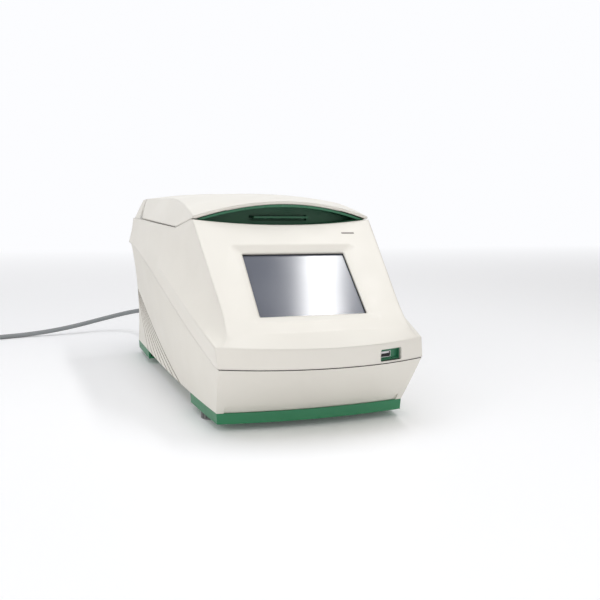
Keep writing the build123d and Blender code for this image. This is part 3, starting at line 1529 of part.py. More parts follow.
with BuildPart() as lead_coil:
    with BuildSketch(Plane.XY):
        with Locations((coil_centre.X, coil_centre.Y)):
            Circle(coil_radius + coil_half)
            Circle(coil_radius - coil_half, mode=Mode.SUBTRACT)
    extrude(amount=coil_layers * coil_pitch)
lead_coil.part.label = "lead_coil"
export_step(lead_coil.part, "parts/lead_coil.step")

plug_relief_length = 28.0
plug_z = lead_rest + coil_pitch
plug_x = coil_centre.X - 24.0
plug_y = coil_centre.Y - coil_radius - coil_pitch

with BuildPart() as plug_relief:
    with Locations(Plane(origin=(plug_x, plug_y, plug_z), z_dir=(-1, 0, 0))):
        Cone(lead_radius, relief_radius, plug_relief_length, align=(Align.CENTER, Align.CENTER, Align.MIN))
plug_relief.part.label = "plug_relief"
export_step(plug_relief.part, "parts/plug_relief.step")

with BuildPart() as mains_plug:
    with BuildSketch(Plane.YZ.offset(plug_x - plug_relief_length)):
        with Locations((plug_y, plug_z)):
            RectangleRounded(26, 2 * plug_z, 4)
    extrude(amount=-34)
    with BuildSketch(Plane.YZ.offset(plug_x - plug_relief_length - 34)):
        with Locations((plug_y - 6.35, plug_z + 2), (plug_y + 6.35, plug_z + 2)):
            Rectangle(1.5, 6.3)
        with Locations((plug_y, plug_z - 5)):
            Circle(2.3)
    extrude(amount=-16)
mains_plug.part.label = "mains_plug"
export_step(mains_plug.part, "parts/mains_plug.step")
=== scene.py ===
# %% [markdown]
# # A bench-top thermal cycler
# The instrument stands on a pale table: an ivory moulded housing with a sloping touch screen, a crowned
# lid over the sample block, a green cup that serves as the lid's handle, and a mains lead that leaves
# from the back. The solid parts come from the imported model, in metres, and every new piece is made
# in that same frame, so nothing has to be fitted by eye.

import json
import math
import os

import bpy
import bmesh
from mathutils import Matrix, Vector


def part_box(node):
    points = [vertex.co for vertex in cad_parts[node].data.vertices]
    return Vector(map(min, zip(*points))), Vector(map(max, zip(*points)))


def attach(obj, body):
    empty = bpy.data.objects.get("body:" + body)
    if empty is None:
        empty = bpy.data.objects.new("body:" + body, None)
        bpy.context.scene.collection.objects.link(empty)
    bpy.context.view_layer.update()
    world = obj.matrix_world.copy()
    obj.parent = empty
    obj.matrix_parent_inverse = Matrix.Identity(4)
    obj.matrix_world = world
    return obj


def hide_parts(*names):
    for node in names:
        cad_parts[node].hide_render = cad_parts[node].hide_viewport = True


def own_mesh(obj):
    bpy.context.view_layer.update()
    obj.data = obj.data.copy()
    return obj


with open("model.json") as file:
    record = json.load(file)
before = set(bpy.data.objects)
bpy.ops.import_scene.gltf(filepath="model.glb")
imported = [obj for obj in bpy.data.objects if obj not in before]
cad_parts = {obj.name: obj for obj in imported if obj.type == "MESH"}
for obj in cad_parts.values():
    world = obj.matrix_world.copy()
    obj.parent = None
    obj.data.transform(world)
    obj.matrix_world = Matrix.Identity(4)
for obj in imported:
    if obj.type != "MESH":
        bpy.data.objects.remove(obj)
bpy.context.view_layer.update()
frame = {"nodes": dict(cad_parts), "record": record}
nodes = frame["nodes"]
MM = 0.001

# %% [markdown]
# ## The camera
# A camera fitted to the photograph stands a little left of the instrument, 0.92 m in front of it, and
# looks slightly down. Its angles are written as a yaw, a pitch and a roll, and the lens follows from the
# focal length in pixels of a 600 pixel wide picture on a 36 mm sensor.

# %% The photograph's camera
camera_place = Vector((-0.28688, -0.92171, 0.23677))
camera_yaw, camera_pitch, camera_roll = (math.radians(a) for a in (20.065, 7.788, 0.835))
focal_pixels, picture_pixels, sensor_mm = 798.94, 600.0, 36.0

ahead = Vector((math.sin(camera_yaw) * math.cos(camera_pitch), math.cos(camera_yaw) * math.cos(camera_pitch),
                -math.sin(camera_pitch)))
right_level = Vector((math.cos(camera_yaw), -math.sin(camera_yaw), 0.0))
up_level = right_level.cross(ahead)
right = right_level * math.cos(camera_roll) + up_level * math.sin(camera_roll)
up = up_level * math.cos(camera_roll) - right_level * math.sin(camera_roll)

camera_data = bpy.data.cameras.new("photo_camera")
camera_data.sensor_width = sensor_mm
camera_data.lens = focal_pixels / picture_pixels * sensor_mm
camera_data.clip_end = 20.0
camera = bpy.data.objects.new("photo_camera", camera_data)
bpy.context.scene.collection.objects.link(camera)
camera.matrix_world = Matrix.Translation(camera_place) @ Matrix((right, up, -ahead)).transposed().to_4x4()
bpy.context.scene.camera = camera
print("lens", round(camera_data.lens, 2), "mm")

# %% [markdown]
# ## Materials made of nodes
# Moulded plastic is never one flat colour: a fine grain breaks the highlight, and the colour drifts a
# little over the surface. One helper builds that from noise on Object coordinates, and every
# finish of the instrument is a call of it with its own colour, gloss and grain.

# %% A helper for node materials


def new_material(name, colour, roughness, metallic=0.0):
    """A Principled material with its colour, roughness and metal set on the shader's own sockets."""
    material = bpy.data.materials.new(name)
    material.use_nodes = True
    shader = material.node_tree.nodes["Principled BSDF"]
    shader.inputs["Base Color"].default_value = (*colour, 1.0)
    shader.inputs["Roughness"].default_value = roughness
    shader.inputs["Metallic"].default_value = metallic
    return material, shader


def object_noise(tree, scale, detail=2.0):
    """Noise on Object coordinates, so the pattern stays on the piece."""
    coordinates = tree.nodes.new("ShaderNodeTexCoord")
    noise = tree.nodes.new("ShaderNodeTexNoise")
    noise.inputs["Scale"].default_value = scale
    noise.inputs["Detail"].default_value = detail
    tree.links.new(coordinates.outputs["Object"], noise.inputs["Vector"])
    return noise


def vary_colour(material, shader, colour, drift, scale):
    """The base colour drifts between a darker and a lighter tone."""
    tree = material.node_tree
    noise = object_noise(tree, scale, 3.0)
    ramp = tree.nodes.new("ShaderNodeValToRGB")
    ramp.color_ramp.elements[0].position = 0.3
    ramp.color_ramp.elements[1].position = 0.7
    ramp.color_ramp.elements[0].color = (*[c * (1 - drift) for c in colour], 1.0)
    ramp.color_ramp.elements[1].color = (*[min(c * (1 + drift), 1.0) for c in colour], 1.0)
    tree.links.new(noise.outputs["Fac"], ramp.inputs["Fac"])
    tree.links.new(ramp.outputs["Color"], shader.inputs["Base Color"])


def vary_roughness(material, shader, low, high, scale):
    """The gloss changes softly over the surface, as moulded and handled plastic does."""
    tree = material.node_tree
    noise = object_noise(tree, scale, 4.0)
    spread = tree.nodes.new("ShaderNodeMapRange")
    spread.inputs["From Min"].default_value = 0.3
    spread.inputs["From Max"].default_value = 0.7
    spread.inputs["To Min"].default_value = low
    spread.inputs["To Max"].default_value = high
    tree.links.new(noise.outputs["Fac"], spread.inputs["Value"])
    tree.links.new(spread.outputs["Result"], shader.inputs["Roughness"])


def add_grain(material, shader, scale, depth_m, strength=0.5):
    """A fine moulded grain as bump, depth_m high."""
    tree = material.node_tree
    noise = object_noise(tree, scale, 2.0)
    bump = tree.nodes.new("ShaderNodeBump")
    bump.inputs["Strength"].default_value = strength
    bump.inputs["Distance"].default_value = depth_m
    tree.links.new(noise.outputs["Fac"], bump.inputs["Height"])
    tree.links.new(bump.outputs["Normal"], shader.inputs["Normal"])
    return bump


def soften_edges(material, bump, radius):
    """A Bevel node rounds the light on every corner, as the radius of a moulded part does."""
    tree = material.node_tree
    rounding = tree.nodes.new("ShaderNodeBevel")
    rounding.samples = 6
    rounding.inputs["Radius"].default_value = radius
    tree.links.new(rounding.outputs["Normal"], bump.inputs["Normal"])


def moulded(name, colour, roughness, drift=0.015, grain=900.0, depth=0.00006, spread=0.05, strength=0.35,
            edge=0.0004):
    """Moulded plastic: a soft drift of colour and gloss, a fine grain and rounded corners."""
    material, shader = new_material(name, colour, roughness)
    vary_colour(material, shader, colour, drift, 14.0)
    vary_roughness(material, shader, roughness - spread, roughness + spread, 45.0)
    bump = add_grain(material, shader, grain, depth, strength)
    soften_edges(material, bump, edge)
    return material


def metal(name, colour, roughness, grain=300.0, depth=0.00004):
    """Metal with a faint uneven polish."""
    material, shader = new_material(name, colour, roughness, 1.0)
    vary_colour(material, shader, colour, 0.04, 30.0)
    vary_roughness(material, shader, roughness * 0.8, roughness * 1.25, 120.0)
    add_grain(material, shader, grain, depth, 0.25)
    return material


# %% [markdown]
# ## The finishes
# The housing is a warm ivory with a satin skin. The lower half was moulded apart and looks a touch
# greyer. The greens are glossier, and the darkest of them, in the handle's hollow, is painted shade.

# %% Name every finish of the instrument
ivory = moulded("ivory_skin", (0.785, 0.755, 0.695), 0.42, edge=0.0032)
ivory_low = moulded("ivory_skin_low", (0.775, 0.745, 0.68), 0.45, edge=0.0006)
# seam_shade is painted shade: a dark brown for the rims inside the seam, where shade falls.
seam_shade = moulded("seam_shade", (0.07, 0.055, 0.045), 0.8)
# groove_shade is painted shade for the floor and walls of the long grooves.
groove_shade = moulded("groove_shade", (0.30, 0.25, 0.20), 0.7)
tray_green = moulded("tray_green", (0.018, 0.190, 0.080), 0.38, drift=0.05, edge=0.0008)
handle_green = moulded("handle_green", (0.024, 0.16, 0.08), 0.28, drift=0.04, edge=0.0006)
# The hollow's green is the handle's green darkened as painted shade; the lever in the hollow wears it too.
bowl_shade_green = moulded("bowl_shade_green", (0.011, 0.120, 0.054), 0.45, drift=0.05)
insert_green = moulded("insert_green", (0.028, 0.18, 0.09), 0.3, drift=0.04)
status_grey = moulded("status_grey", (0.20, 0.18, 0.16), 0.3)
foot_rubber = moulded("foot_rubber", (0.17, 0.17, 0.17), 0.6, depth=0.0001)
gasket_black = moulded("gasket_black", (0.012, 0.012, 0.014), 0.5)
deck_grey = moulded("deck_grey", (0.36, 0.37, 0.38), 0.45)
collar_black = moulded("collar_black", (0.03, 0.03, 0.033), 0.5)
liner_grey = moulded("liner_grey", (0.30, 0.31, 0.32), 0.5)
duct_black = moulded("duct_black", (0.02, 0.02, 0.022), 0.55)
fan_black = moulded("fan_black", (0.014, 0.014, 0.015), 0.4)
inlet_black = moulded("inlet_black", (0.012, 0.012, 0.013), 0.38)
board_green = moulded("board_green", (0.01, 0.12, 0.05), 0.4, drift=0.12)
module_white = moulded("module_white", (0.75, 0.75, 0.72), 0.6)
insulation_grey = moulded("insulation_grey", (0.42, 0.42, 0.40), 0.85, drift=0.08, depth=0.0003, grain=400.0)
mat_orange = moulded("mat_orange", (0.33, 0.09, 0.02), 0.5, drift=0.08)
lead_grey = moulded("lead_grey", (0.23, 0.245, 0.25), 0.5, depth=0.00008)
plug_grey = moulded("plug_grey", (0.17, 0.18, 0.185), 0.45)
block_metal = metal("block_metal", (0.78, 0.79, 0.80), 0.3)
sink_metal = metal("sink_metal", (0.70, 0.71, 0.72), 0.35)
bright_steel = metal("bright_steel", (0.62, 0.62, 0.63), 0.3)
folded_sheet = metal("folded_sheet", (0.55, 0.55, 0.55), 0.42)
pin_brass = metal("pin_brass", (0.72, 0.58, 0.30), 0.28)
rear_paint = moulded("rear_paint", (0.52, 0.51, 0.46), 0.5, depth=0.00012, grain=1400.0)

# %% [markdown]
# ## The touch screen
# The screen is switched off: a blue-grey film with a very soft sheen under a clear hard coat. A clear
# coat over a darker base gives the two layers, and the studio's lamp makes the pale band in it.

# %% The screen's film
film_colour = (0.075, 0.085, 0.12)
screen_film, screen_shader = new_material("screen_film", film_colour, 0.16)
vary_colour(screen_film, screen_shader, film_colour, 0.04, 9.0)
vary_roughness(screen_film, screen_shader, 0.15, 0.2, 22.0)
screen_shader.inputs["Coat Weight"].default_value = 1.0
screen_shader.inputs["Coat Roughness"].default_value = 0.13

# %% [markdown]
# ## Which node wears which finish
# The node names say what each solid is, so a plain table dresses them all.

# %% Dress the solid parts
finishes = {
    "lower_case": ivory_low, "upper_case": ivory, "lid_cover": ivory, "base_tray": tray_green,
    "feet": foot_rubber, "screen_gasket": gasket_black, "touch_glass": screen_film,
    "display_panel": folded_sheet, "display_board": board_green, "usb_insert": insert_green,
    "usb_socket": bright_steel, "deck_panel": deck_grey, "block_collar": collar_black,
    "sample_block": block_metal, "peltier_modules": module_white, "heat_sink": sink_metal,
    "sink_pillars": bright_steel, "chassis_plate": folded_sheet, "power_supply": folded_sheet,
    "main_board": board_green, "driver_board": board_green, "fan_frame_left": fan_black,
    "fan_frame_right": fan_black, "impeller_left": fan_black, "impeller_right": fan_black,
    "air_duct": duct_black, "rear_panel": rear_paint, "inlet_module": inlet_black,
    "inlet_pins": pin_brass, "fuse_drawer": inlet_black, "power_rocker": inlet_black,
    "latch_strikes": bright_steel, "hinge_brackets": bright_steel, "hinge_pins": bright_steel,
    "lid_hinge_leaves": bright_steel, "lid_liner": liner_grey, "heated_plate": sink_metal,
    "heater_mat": mat_orange, "platen_insulation": insulation_grey, "platen_frame": bright_steel,
    "guide_posts": bright_steel, "platen_springs": bright_steel, "lid_handle": handle_green,
    # The lever sits in the handle's hollow and wears its darker green, a painted shade.
    "latch_lever": bowl_shade_green, "latch_shaft": bright_steel, "latch_hooks": bright_steel,
    "case_screws": bright_steel, "panel_screws": bright_steel, "lead_connector": inlet_black,
    "lead_relief": inlet_black, "mains_plug": plug_grey, "plug_relief": plug_grey,
}
for name, finish in finishes.items():
    nodes[name].data.materials.clear()
    nodes[name].data.materials.append(finish)
print("dressed", len(finishes), "nodes")

# %% [markdown]
# ## Smooth copies of the moulded shells
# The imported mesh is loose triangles. For a shell that is looked at closely, a copy is merged, so that
# neighbouring faces share their corners, and shaded smooth except across real creases. The
# copy then stands for the node, and rides on the same body.

# %% A helper that merges and smooths a copy


def select_only(*objects):
    """Deselects everything, then selects these, the first one active."""
    bpy.ops.object.select_all(action="DESELECT")
    for item in objects:
        item.select_set(True)
    bpy.context.view_layer.objects.active = objects[0]


def smooth_normals(piece, crease_degrees):
    """Smooth shading up to the crease angle, weighted so that large faces stay flat."""
    select_only(piece)
    bpy.ops.mesh.customdata_custom_splitnormals_clear()
    bpy.ops.object.shade_smooth_by_angle(angle=math.radians(crease_degrees))
    weighted = piece.modifiers.new("weighted_normals", "WEIGHTED_NORMAL")
    weighted.keep_sharp = True
    bpy.ops.object.modifier_apply(modifier=weighted.name)


def smooth_copy(node, name, crease_degrees=28.0):
    """A merged, smooth-shaded copy of a CAD node that replaces it."""
    source = nodes[node]
    copy = bpy.data.objects.new(name, source.data.copy())
    bpy.context.scene.collection.objects.link(copy)
    copy.matrix_world = source.matrix_world
    select_only(copy)
    bpy.ops.object.mode_set(mode="EDIT")
    bpy.ops.mesh.select_all(action="SELECT")
    bpy.ops.mesh.remove_doubles(threshold=0.00001)
    bpy.ops.mesh.dissolve_limited(angle_limit=math.radians(0.3))
    bpy.ops.object.mode_set(mode="OBJECT")
    smooth_normals(copy, crease_degrees)
    body = next(body for body, names in frame["record"]["behaviour"]["bodies"].items() if node in names)
    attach(copy, body)
    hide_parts(node)
    return copy


shell_creases = {
    "lower_case": 14.0, "upper_case": 14.0, "lid_cover": 16.0, "base_tray": 25.0, "lid_handle": 25.0,
    "latch_lever": 30.0, "touch_glass": 28.0, "usb_insert": 28.0,
}
shells = {}
for node, crease_degrees in shell_creases.items():
    shells[node] = smooth_copy(node, node + "_skin", crease_degrees)
    print(node, "smoothed:", len(shells[node].data.polygons), "faces")

# %% [markdown]
# ## The seam between the two halves
# Two mouldings never close without a hair of shadow between them. The rim of the lower half is lowered by 0.8 of
# a millimetre all the way round, so the seam is a real gap, and the rims inside it get painted shade further on.
# The seam is level at the front and climbs towards the back, and the rim's corners are found by that curve.

# %% Open the seam
rear_y = Vector(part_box("upper_case")[1]).y
front_y = -rear_y
seam_front_z, seam_rear_z, seam_start = 0.070, 0.162, 0.034
seam_gap, rim_reach_z = 0.0008, 0.0014


def seam_height(y):
    """How high the seam lies at this place from front to back."""
    left = min((rear_y - y) / (rear_y - front_y - seam_start), 1.0)
    return seam_front_z + (seam_rear_z - seam_front_z) * (1 - max(left, 0.0) ** 1.4)


def select_by(piece, vertex_test=None, face_test=None):
    """Enters edit mode with just the corners or the faces selected that the test picks."""
    if bpy.context.mode != "OBJECT":
        bpy.ops.object.mode_set(mode="OBJECT")
    select_only(piece)
    bpy.ops.object.mode_set(mode="EDIT")
    bpy.ops.mesh.select_mode(type="FACE" if face_test else "VERT")
    bpy.ops.mesh.select_all(action="DESELECT")
    bpy.ops.object.mode_set(mode="OBJECT")
    picked = 0
    for item in (piece.data.polygons if face_test else piece.data.vertices):
        item.select = (face_test or vertex_test)(item)
        picked += item.select
    bpy.ops.object.mode_set(mode="EDIT")
    return picked


lower = shells["lower_case"]
rim = select_by(lower, vertex_test=lambda v: abs(v.co.z - seam_height(v.co.y)) < rim_reach_z)
bpy.ops.transform.translate(value=(0, 0, -seam_gap))
bpy.ops.object.mode_set(mode="OBJECT")
print("lowered", rim, "corners of the rim")

# %% [markdown]
# ## The fanned grooves
# Seven fine grooves fan out over the rear of each flank, from one place high up at the back down to the
# floor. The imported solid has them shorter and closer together, so they are closed first, by pushing their
# floors out again, and then cut where the instrument has them: two bisecting planes mark the edges of each
# groove on the flank, and the strip between them is extruded inwards.

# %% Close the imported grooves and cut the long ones
fan_count = 7
fan_foot_z = 0.0124
packed_fan = dict(first=0.263, pitch=0.018, top=0.098, fall=0.0035, half=0.0009)
long_fan = dict(first=0.170, pitch=0.035, top=0.094, fall=0.0025, half=0.0008)
packed_depth, long_depth = 0.0009, 0.0016
fan_low_z, fan_rear_y = 0.0196, rear_y - 0.001


def off_groove(fan, groove, y, z):
    """How far a place in the side view lies from a groove's centre line."""
    foot_y, top_y = front_y + fan["first"] + groove * fan["pitch"], rear_y + 0.004
    top_z = fan["top"] - groove * fan["fall"]
    run_y, run_z = top_y - foot_y, top_z - fan_foot_z
    return ((y - foot_y) * run_z - (z - fan_foot_z) * run_y) / math.hypot(run_y, run_z)


def on_flank(face, side=0):
    """The outside of a flank, where the grooves are."""
    x, y, z = face.center
    outward = face.normal.x * x > 0 and abs(face.normal.x) > 0.5 and abs(x) > 0.085
    return outward and side * x >= 0 and y > -0.11 and z < 0.13


def in_groove(face, fan, side):
    """One of the strips of a fan, on one flank."""
    x, y, z = face.center
    near = min(abs(off_groove(fan, groove, y, z)) for groove in range(fan_count))
    return on_flank(face, side) and near < fan["half"] * 0.97


for side in (-1, 1):
    closed = select_by(lower, face_test=lambda face: in_groove(face, packed_fan, side))
    bpy.ops.transform.translate(value=(side * packed_depth, 0, 0))
    print("closed", closed, "groove faces")
bpy.ops.mesh.select_all(action="SELECT")
bpy.ops.mesh.remove_doubles(threshold=0.00006)
bpy.ops.mesh.dissolve_degenerate(threshold=0.00006)

cuts = [((0, 0, fan_low_z), (0, 0, 1)), ((0, fan_rear_y, 0), (0, 1, 0))]
for groove in range(fan_count):
    foot_y, top_z = front_y + long_fan["first"] + groove * long_fan["pitch"], long_fan["top"] - groove * long_fan["fall"]
    run = Vector((0, rear_y + 0.004 - foot_y, top_z - fan_foot_z)).normalized()
    normal = Vector((0, run.z, -run.y))
    for edge in (-1, 1):
        cuts.append((Vector((0, foot_y, fan_foot_z)) + normal * edge * long_fan["half"], normal))
for place, normal in cuts:
    select_by(lower, face_test=on_flank)
    bpy.ops.mesh.bisect(plane_co=place, plane_no=normal, use_fill=False, threshold=0.00001)
for side in (-1, 1):
    cut = select_by(lower, face_test=lambda face: in_groove(face, long_fan, side)
                    and face.center.z > fan_low_z and face.center.y < fan_rear_y)
    bpy.ops.mesh.extrude_region_move(TRANSFORM_OT_translate={"value": (-side * long_depth, 0, 0)})
    print("cut", cut, "groove faces")
bpy.ops.object.mode_set(mode="OBJECT")
smooth_normals(lower, shell_creases["lower_case"])

# %% [markdown]
# ## Painted shade in the seam and the grooves
# Light hardly reaches the bottom of a narrow groove. The floor and walls of each groove
# and the two rims inside the seam get a darker, browner colour as painted shade, which reads as a fine line from
# any side.

# %% Darken the grooves and the rims
upper = shells["upper_case"]
for shell, finish in ((lower, seam_shade), (lower, groove_shade), (upper, seam_shade)):
    shell.data.materials.append(finish)
# The rims inside the seam get seam_shade, a painted shade.
for shell in (lower, upper):
    for face in shell.data.polygons:
        corners = [shell.data.vertices[i].co for i in face.vertices]
        level = all(abs(co.z - seam_height(co.y)) < rim_reach_z + seam_gap for co in corners)
        if level and abs(face.normal.z) > 0.4:
            face.material_index = 1


def near_groove(place):
    """Whether a place lies within a long groove or on its edge, in the side view."""
    near = min(abs(off_groove(long_fan, groove, place.y, place.z)) for groove in range(fan_count))
    return near < long_fan["half"] * 1.05


# Faces of the long grooves get groove_shade, a painted shade.
shaded = 0
for face in lower.data.polygons:
    corners = [lower.data.vertices[i].co for i in face.vertices]
    at_flank = abs(face.center.x) > 0.085 and face.center.y > -0.11 and face.center.z < 0.13
    if at_flank and near_groove(face.center) and all(near_groove(co) for co in corners):
        face.material_index = 2
        shaded += 1
print("shaded", shaded, "faces of the grooves")

# %% [markdown]
# ## The handle cup, the lever and the socket
# The faces behind the cup's rolled lip get a darker green than the lip, painted shade for the hollow.
# The lever's hub carries a thin shutter that fills the slot at the back of the cup. The socket's insert is
# shallow on the real thing: the floor of its pocket is brought forward round the metal shell.

# %% The handle's green, and painted shade for its hollow
handle = shells["lid_handle"]
handle.data.materials.append(bowl_shade_green)
cup_front_y, cup_bow, cup_half, lip_depth = front_y + 0.152, 0.008, 0.108, 0.0014
# Faces behind the lip get the hollow's darker green, a painted shade.
for face in handle.data.polygons:
    lip_y = cup_front_y + cup_bow * (face.center.x / cup_half) ** 2
    face.material_index = int(face.center.y > lip_y + lip_depth)

# %% The shutter on the lever
lever = shells["latch_lever"]
bpy.ops.object.select_all(action="DESELECT")
bpy.ops.mesh.primitive_cube_add(size=1.0, location=(0, front_y + 0.1815, 0.2062))
shutter = bpy.context.active_object
shutter.scale = (0.076, 0.0006, 0.0082)
bpy.ops.object.transform_apply(location=True, scale=True)
bpy.ops.object.mode_set(mode="EDIT")
bpy.ops.mesh.select_all(action="SELECT")
bpy.ops.mesh.bevel(offset=0.0002, segments=2, affect="EDGES")
bpy.ops.object.mode_set(mode="OBJECT")
# The shutter wears the lip's brighter green, lighter than the lever round it: painted light against the shade in
# the slot.
shutter.data.materials.append(handle_green)
select_only(lever, shutter)
bpy.ops.object.join()

# %% The shallow pocket of the socket
insert = shells["usb_insert"]
rim_face = max(insert.data.polygons, key=lambda face: -face.normal.y * face.area)
outward = rim_face.normal.copy()
rim_reach = max(v.co.dot(outward) for v in insert.data.vertices)
pocket_floor, pocket_rise = 0.0075, 0.0050
moved = select_by(insert, vertex_test=lambda v: abs(rim_reach - v.co.dot(outward) - pocket_floor) < 0.0003)
bpy.ops.transform.translate(value=outward * pocket_rise)
bpy.ops.object.mode_set(mode="OBJECT")
print("raised", moved, "corners of the pocket's floor")

# %% [markdown]
# ## The status window and the springs
# A slim grey window lies in the face, above the screen's right corner. In the lid, four wound springs press the
# heated plate down. A spring is a small circle that a Screw modifier winds round its post.

# %% The status window
face_slope = math.radians(41.085)
face_foot = Vector((0.0, front_y + 0.035, 0.0995))
up_face = Vector((0.0, math.cos(face_slope), math.sin(face_slope)))
window_place = face_foot + up_face * 0.1386 + Vector((0.0701, 0.0, 0.0))
bpy.ops.object.select_all(action="DESELECT")
bpy.ops.mesh.primitive_cube_add(size=1.0, location=window_place, rotation=(face_slope, 0, 0))
window = bpy.context.active_object
window.name = "status_window"
window.scale = (0.015, 0.0021, 0.0008)
bpy.ops.object.transform_apply(location=True, rotation=True, scale=True)
bpy.ops.object.mode_set(mode="EDIT")
bpy.ops.mesh.select_all(action="SELECT")
bpy.ops.mesh.bevel(offset=0.00025, segments=2, affect="EDGES")
bpy.ops.object.mode_set(mode="OBJECT")
window.data.materials.append(status_grey)
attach(window, "housing")

# %% The four springs
spring_low, spring_high = (Vector(corner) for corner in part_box("platen_springs"))
wire_radius, coil_reach, spring_turns = 0.00045, 0.0043, 4
sleeve_radius = 0.005
spring_height = spring_high.z - spring_low.z
spring_pitch = (spring_height - 2 * wire_radius) / spring_turns
springs = []
for side_x in (spring_low.x + sleeve_radius, spring_high.x - sleeve_radius):
    for side_y in (spring_low.y + sleeve_radius, spring_high.y - sleeve_radius):
        bpy.ops.object.select_all(action="DESELECT")
        bpy.ops.mesh.primitive_circle_add(vertices=8, radius=wire_radius, location=(coil_reach, 0, 0),
                                          rotation=(math.pi / 2, 0, 0))
        spring = bpy.context.active_object
        bpy.ops.object.transform_apply(location=True, rotation=True)
        winding = spring.modifiers.new("winding", "SCREW")
        winding.steps = winding.render_steps = 24
        winding.iterations = spring_turns
        winding.screw_offset = spring_pitch
        bpy.ops.object.modifier_apply(modifier=winding.name)
        spring.location = (side_x, side_y, spring_low.z + wire_radius)
        bpy.ops.object.transform_apply(location=True)
        bpy.ops.object.mode_set(mode="EDIT")
        bpy.ops.mesh.select_all(action="SELECT")
        bpy.ops.mesh.fill_holes(sides=0)
        bpy.ops.mesh.normals_make_consistent(inside=False)
        bpy.ops.object.mode_set(mode="OBJECT")
        springs.append(spring)
select_only(*springs)
bpy.ops.object.join()
wound = bpy.context.active_object
wound.name = "platen_springs_wound"
wound.data.materials.append(bright_steel)
bpy.ops.object.shade_smooth_by_angle(angle=math.radians(50))
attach(wound, "lid")
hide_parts("platen_springs")
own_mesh(wound)
print("springs wound:", len(wound.data.polygons), "faces")

# %% [markdown]
# ## The mains lead
# The lead leaves the connector straight to the back, sags to the table, and runs off to the left. What
# the picture doesn't show of its 1.8 m is put away as a round coil of two layers of three turns just
# outside the view. One NURBS line with the route's points makes all of it.

# %% The lead's route and its coil
lead_radius = 0.0035
lead_y = 0.285
route = [
    (-72, 0, 49), (-72, 31, 49), (-73, 67, 45), (-81, 103, 39), (-106, 130, 31), (-143, 138, 21.5),
    (-186, 127, 13.5), (-227, 119, 7.6), (-267, 117, 3.6), (-305, 106, 3.6), (-342, 96, 3.6),
]
lead_points = [Vector((x * MM, lead_y + y * MM, z * MM)) for x, y, z in route]
lead_end = Vector((-0.378, lead_y + 0.091, 0.0036))
heading = (lead_end - lead_points[-1]).normalized()
coil_mid, coil_pitch, coil_steps = 0.0365, 0.0072, 16
coil_centre = lead_end + Vector((-heading.y, heading.x, 0)) * -(coil_mid + coil_pitch)
turn_radii = [coil_mid + coil_pitch, coil_mid, coil_mid - coil_pitch]
low_z = lead_end.z
high_z = low_z + coil_pitch
layers = [(radius, low_z) for radius in turn_radii] + [(radius, high_z) for radius in reversed(turn_radii)]
widen = 1 / math.cos(math.pi / coil_steps)
start_angle = math.atan2(lead_end.y - coil_centre.y, lead_end.x - coil_centre.x)
for turn, (radius, height) in enumerate(layers):
    following = layers[min(turn + 1, len(layers) - 1)]
    for step in range(coil_steps):
        blend = max(0.0, (step - coil_steps + 4) / 4.0)
        r = (radius + (following[0] - radius) * blend) * widen
        z = height + (following[1] - height) * blend
        angle = start_angle - (turn + step / coil_steps) * 2 * math.pi
        lead_points.append(Vector((coil_centre.x + r * math.cos(angle), coil_centre.y + r * math.sin(angle), z)))
plug_start = Vector((coil_centre.x - 0.024, coil_centre.y - turn_radii[0], high_z))
lead_points.append(Vector((coil_centre.x - 0.004, coil_centre.y - turn_radii[0] * widen, high_z)))
lead_points.append(plug_start)

lead_curve = bpy.data.curves.new("mains_lead_curve", "CURVE")
lead_curve.dimensions = "3D"
lead_curve.bevel_depth = lead_radius
lead_curve.bevel_resolution = 5
lead_curve.use_fill_caps = True
lead_curve.resolution_u = 8
spline = lead_curve.splines.new("NURBS")
spline.points.add(len(lead_points) - 1)
for point, place in zip(spline.points, lead_points):
    point.co = (*place, 1.0)
spline.order_u = 3
spline.use_endpoint_u = True
lead = bpy.data.objects.new("mains_lead_cord", lead_curve)
bpy.context.scene.collection.objects.link(lead)
lead.data.materials.append(lead_grey)
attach(lead, "housing")
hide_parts("mains_lead", "lead_coil")
print("lead has", len(lead_points), "points")

# %% [markdown]
# ## The table, the backdrop and the light
# The instrument was photographed on a white table that runs up into a white background. One bent
# sheet does both. A big soft lamp above and to the right is the main light, a second from the left
# fills the shadows, and the world adds an even pale light.

# %% The white sweep
bpy.ops.object.select_all(action="DESELECT")
bpy.ops.mesh.primitive_plane_add(size=2.0, location=(0.0, 1.2, 0.0))
sweep = bpy.context.active_object
sweep.name = "white_sweep"
sweep.scale = (6.0, 3.6, 1.0)
bpy.ops.object.transform_apply(location=True, scale=True)
bpy.ops.object.mode_set(mode="EDIT")
bpy.ops.mesh.select_all(action="DESELECT")
bpy.ops.mesh.select_mode(type="EDGE")
bpy.ops.object.mode_set(mode="OBJECT")
for edge in sweep.data.edges:
    edge.select = all(sweep.data.vertices[i].co.y > 4.0 for i in edge.vertices)
bpy.ops.object.mode_set(mode="EDIT")
bpy.ops.mesh.extrude_region_move(TRANSFORM_OT_translate={"value": (0, 0.8, 0.6)})
bpy.ops.mesh.extrude_region_move(TRANSFORM_OT_translate={"value": (0, 0.3, 5.0)})
bpy.ops.object.mode_set(mode="OBJECT")

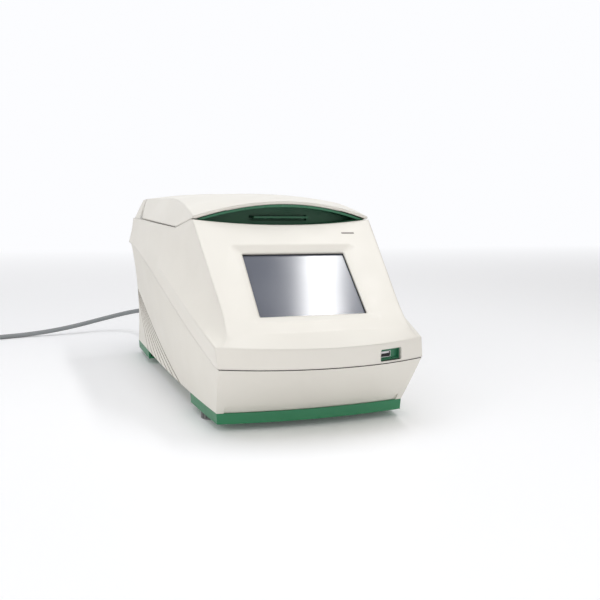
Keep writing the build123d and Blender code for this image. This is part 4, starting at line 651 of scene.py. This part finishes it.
sweep_white, sweep_shader = new_material("sweep_white", (0.93, 0.93, 0.945), 0.5)
add_grain(sweep_white, sweep_shader, 60.0, 0.0002, 0.1)
tree = sweep_white.node_tree
light_path = tree.nodes.new("ShaderNodeLightPath")
glow = tree.nodes.new("ShaderNodeEmission")
glow.inputs["Color"].default_value = (0.975, 0.98, 1.0, 1.0)
glow.inputs["Strength"].default_value = 1.0
blend_shader = tree.nodes.new("ShaderNodeMixShader")
plain_ray = tree.nodes.new("ShaderNodeMath")
plain_ray.operation = "MAXIMUM"
mirror_ray = tree.nodes.new("ShaderNodeMath")
mirror_ray.operation = "MAXIMUM"
tree.links.new(light_path.outputs["Is Camera Ray"], plain_ray.inputs[0])
tree.links.new(light_path.outputs["Is Glossy Ray"], mirror_ray.inputs[0])
tree.links.new(light_path.outputs["Is Transmission Ray"], mirror_ray.inputs[1])
tree.links.new(mirror_ray.outputs[0], plain_ray.inputs[1])
place = tree.nodes.new("ShaderNodeTexCoord")
split = tree.nodes.new("ShaderNodeSeparateXYZ")
fade = tree.nodes.new("ShaderNodeMapRange")
fade.inputs["From Min"].default_value = 0.3
fade.inputs["From Max"].default_value = 2.2
fade.inputs["To Min"].default_value = 0.0
fade.inputs["To Max"].default_value = 1.0
tree.links.new(place.outputs["Object"], split.inputs["Vector"])
tree.links.new(split.outputs["Y"], fade.inputs["Value"])
seen = tree.nodes.new("ShaderNodeMath")
seen.operation = "MULTIPLY"
output = tree.nodes["Material Output"]
tree.links.new(plain_ray.outputs[0], seen.inputs[0])
tree.links.new(fade.outputs["Result"], seen.inputs[1])
tree.links.new(seen.outputs[0], blend_shader.inputs["Fac"])
table_glow = tree.nodes.new("ShaderNodeEmission")
table_glow.inputs["Color"].default_value = (0.975, 0.98, 1.0, 1.0)
table_lift = tree.nodes.new("ShaderNodeMath")
table_lift.operation = "MULTIPLY"
table_lift.inputs[1].default_value = 0.05
lifted = tree.nodes.new("ShaderNodeAddShader")
tree.links.new(plain_ray.outputs[0], table_lift.inputs[0])
tree.links.new(table_lift.outputs[0], table_glow.inputs["Strength"])
tree.links.new(sweep_shader.outputs[0], lifted.inputs[0])
tree.links.new(table_glow.outputs[0], lifted.inputs[1])
tree.links.new(lifted.outputs[0], blend_shader.inputs[1])
tree.links.new(glow.outputs[0], blend_shader.inputs[2])
tree.links.new(blend_shader.outputs[0], output.inputs["Surface"])
sweep.data.materials.append(sweep_white)

# %% The lamps


def soft_lamp(name, place, target, width, length, watts, colour=(1.0, 1.0, 1.0)):
    """An oblong area lamp turned towards a target, its width kept along the instrument's width."""
    data = bpy.data.lights.new(name, "AREA")
    data.shape = "RECTANGLE"
    data.size = width
    data.size_y = length
    data.energy = watts
    data.color = colour
    lamp = bpy.data.objects.new(name, data)
    bpy.context.scene.collection.objects.link(lamp)
    away = (Vector(place) - Vector(target)).normalized()
    across = (Vector((1, 0, 0)) - away * away.x).normalized()
    turned = Matrix((across, away.cross(across), away)).transposed().to_4x4()
    lamp.matrix_world = Matrix.Translation(place) @ turned
    return lamp


middle = (0.0, 0.0, 0.12)
screen_middle = (0.01, -0.15, 0.155)
soft_lamp("overhead_strip", (0.58, -0.10, 1.56), screen_middle, 0.105, 1.3, 7.0)
soft_lamp("overhead_lamp", (-0.3, 0.1, 1.7), middle, 1.2, 1.2, 7.2, (0.86, 0.92, 1.0))
soft_lamp("left_fill", (-1.6, -0.5, 0.8), middle, 1.3, 1.3, 8.0)
soft_lamp("front_fill", (0.5, -1.6, 0.6), middle, 1.2, 1.2, 3.7)

world = bpy.data.worlds.new("pale_world")
bpy.context.scene.world = world
world.use_nodes = True
world.node_tree.nodes["Background"].inputs["Color"].default_value = (1.0, 0.985, 0.96, 1.0)
world.node_tree.nodes["Background"].inputs["Strength"].default_value = 0.55
bpy.context.scene.view_settings.view_transform = "Standard"

# %% Update the scene
bpy.context.view_layer.update()
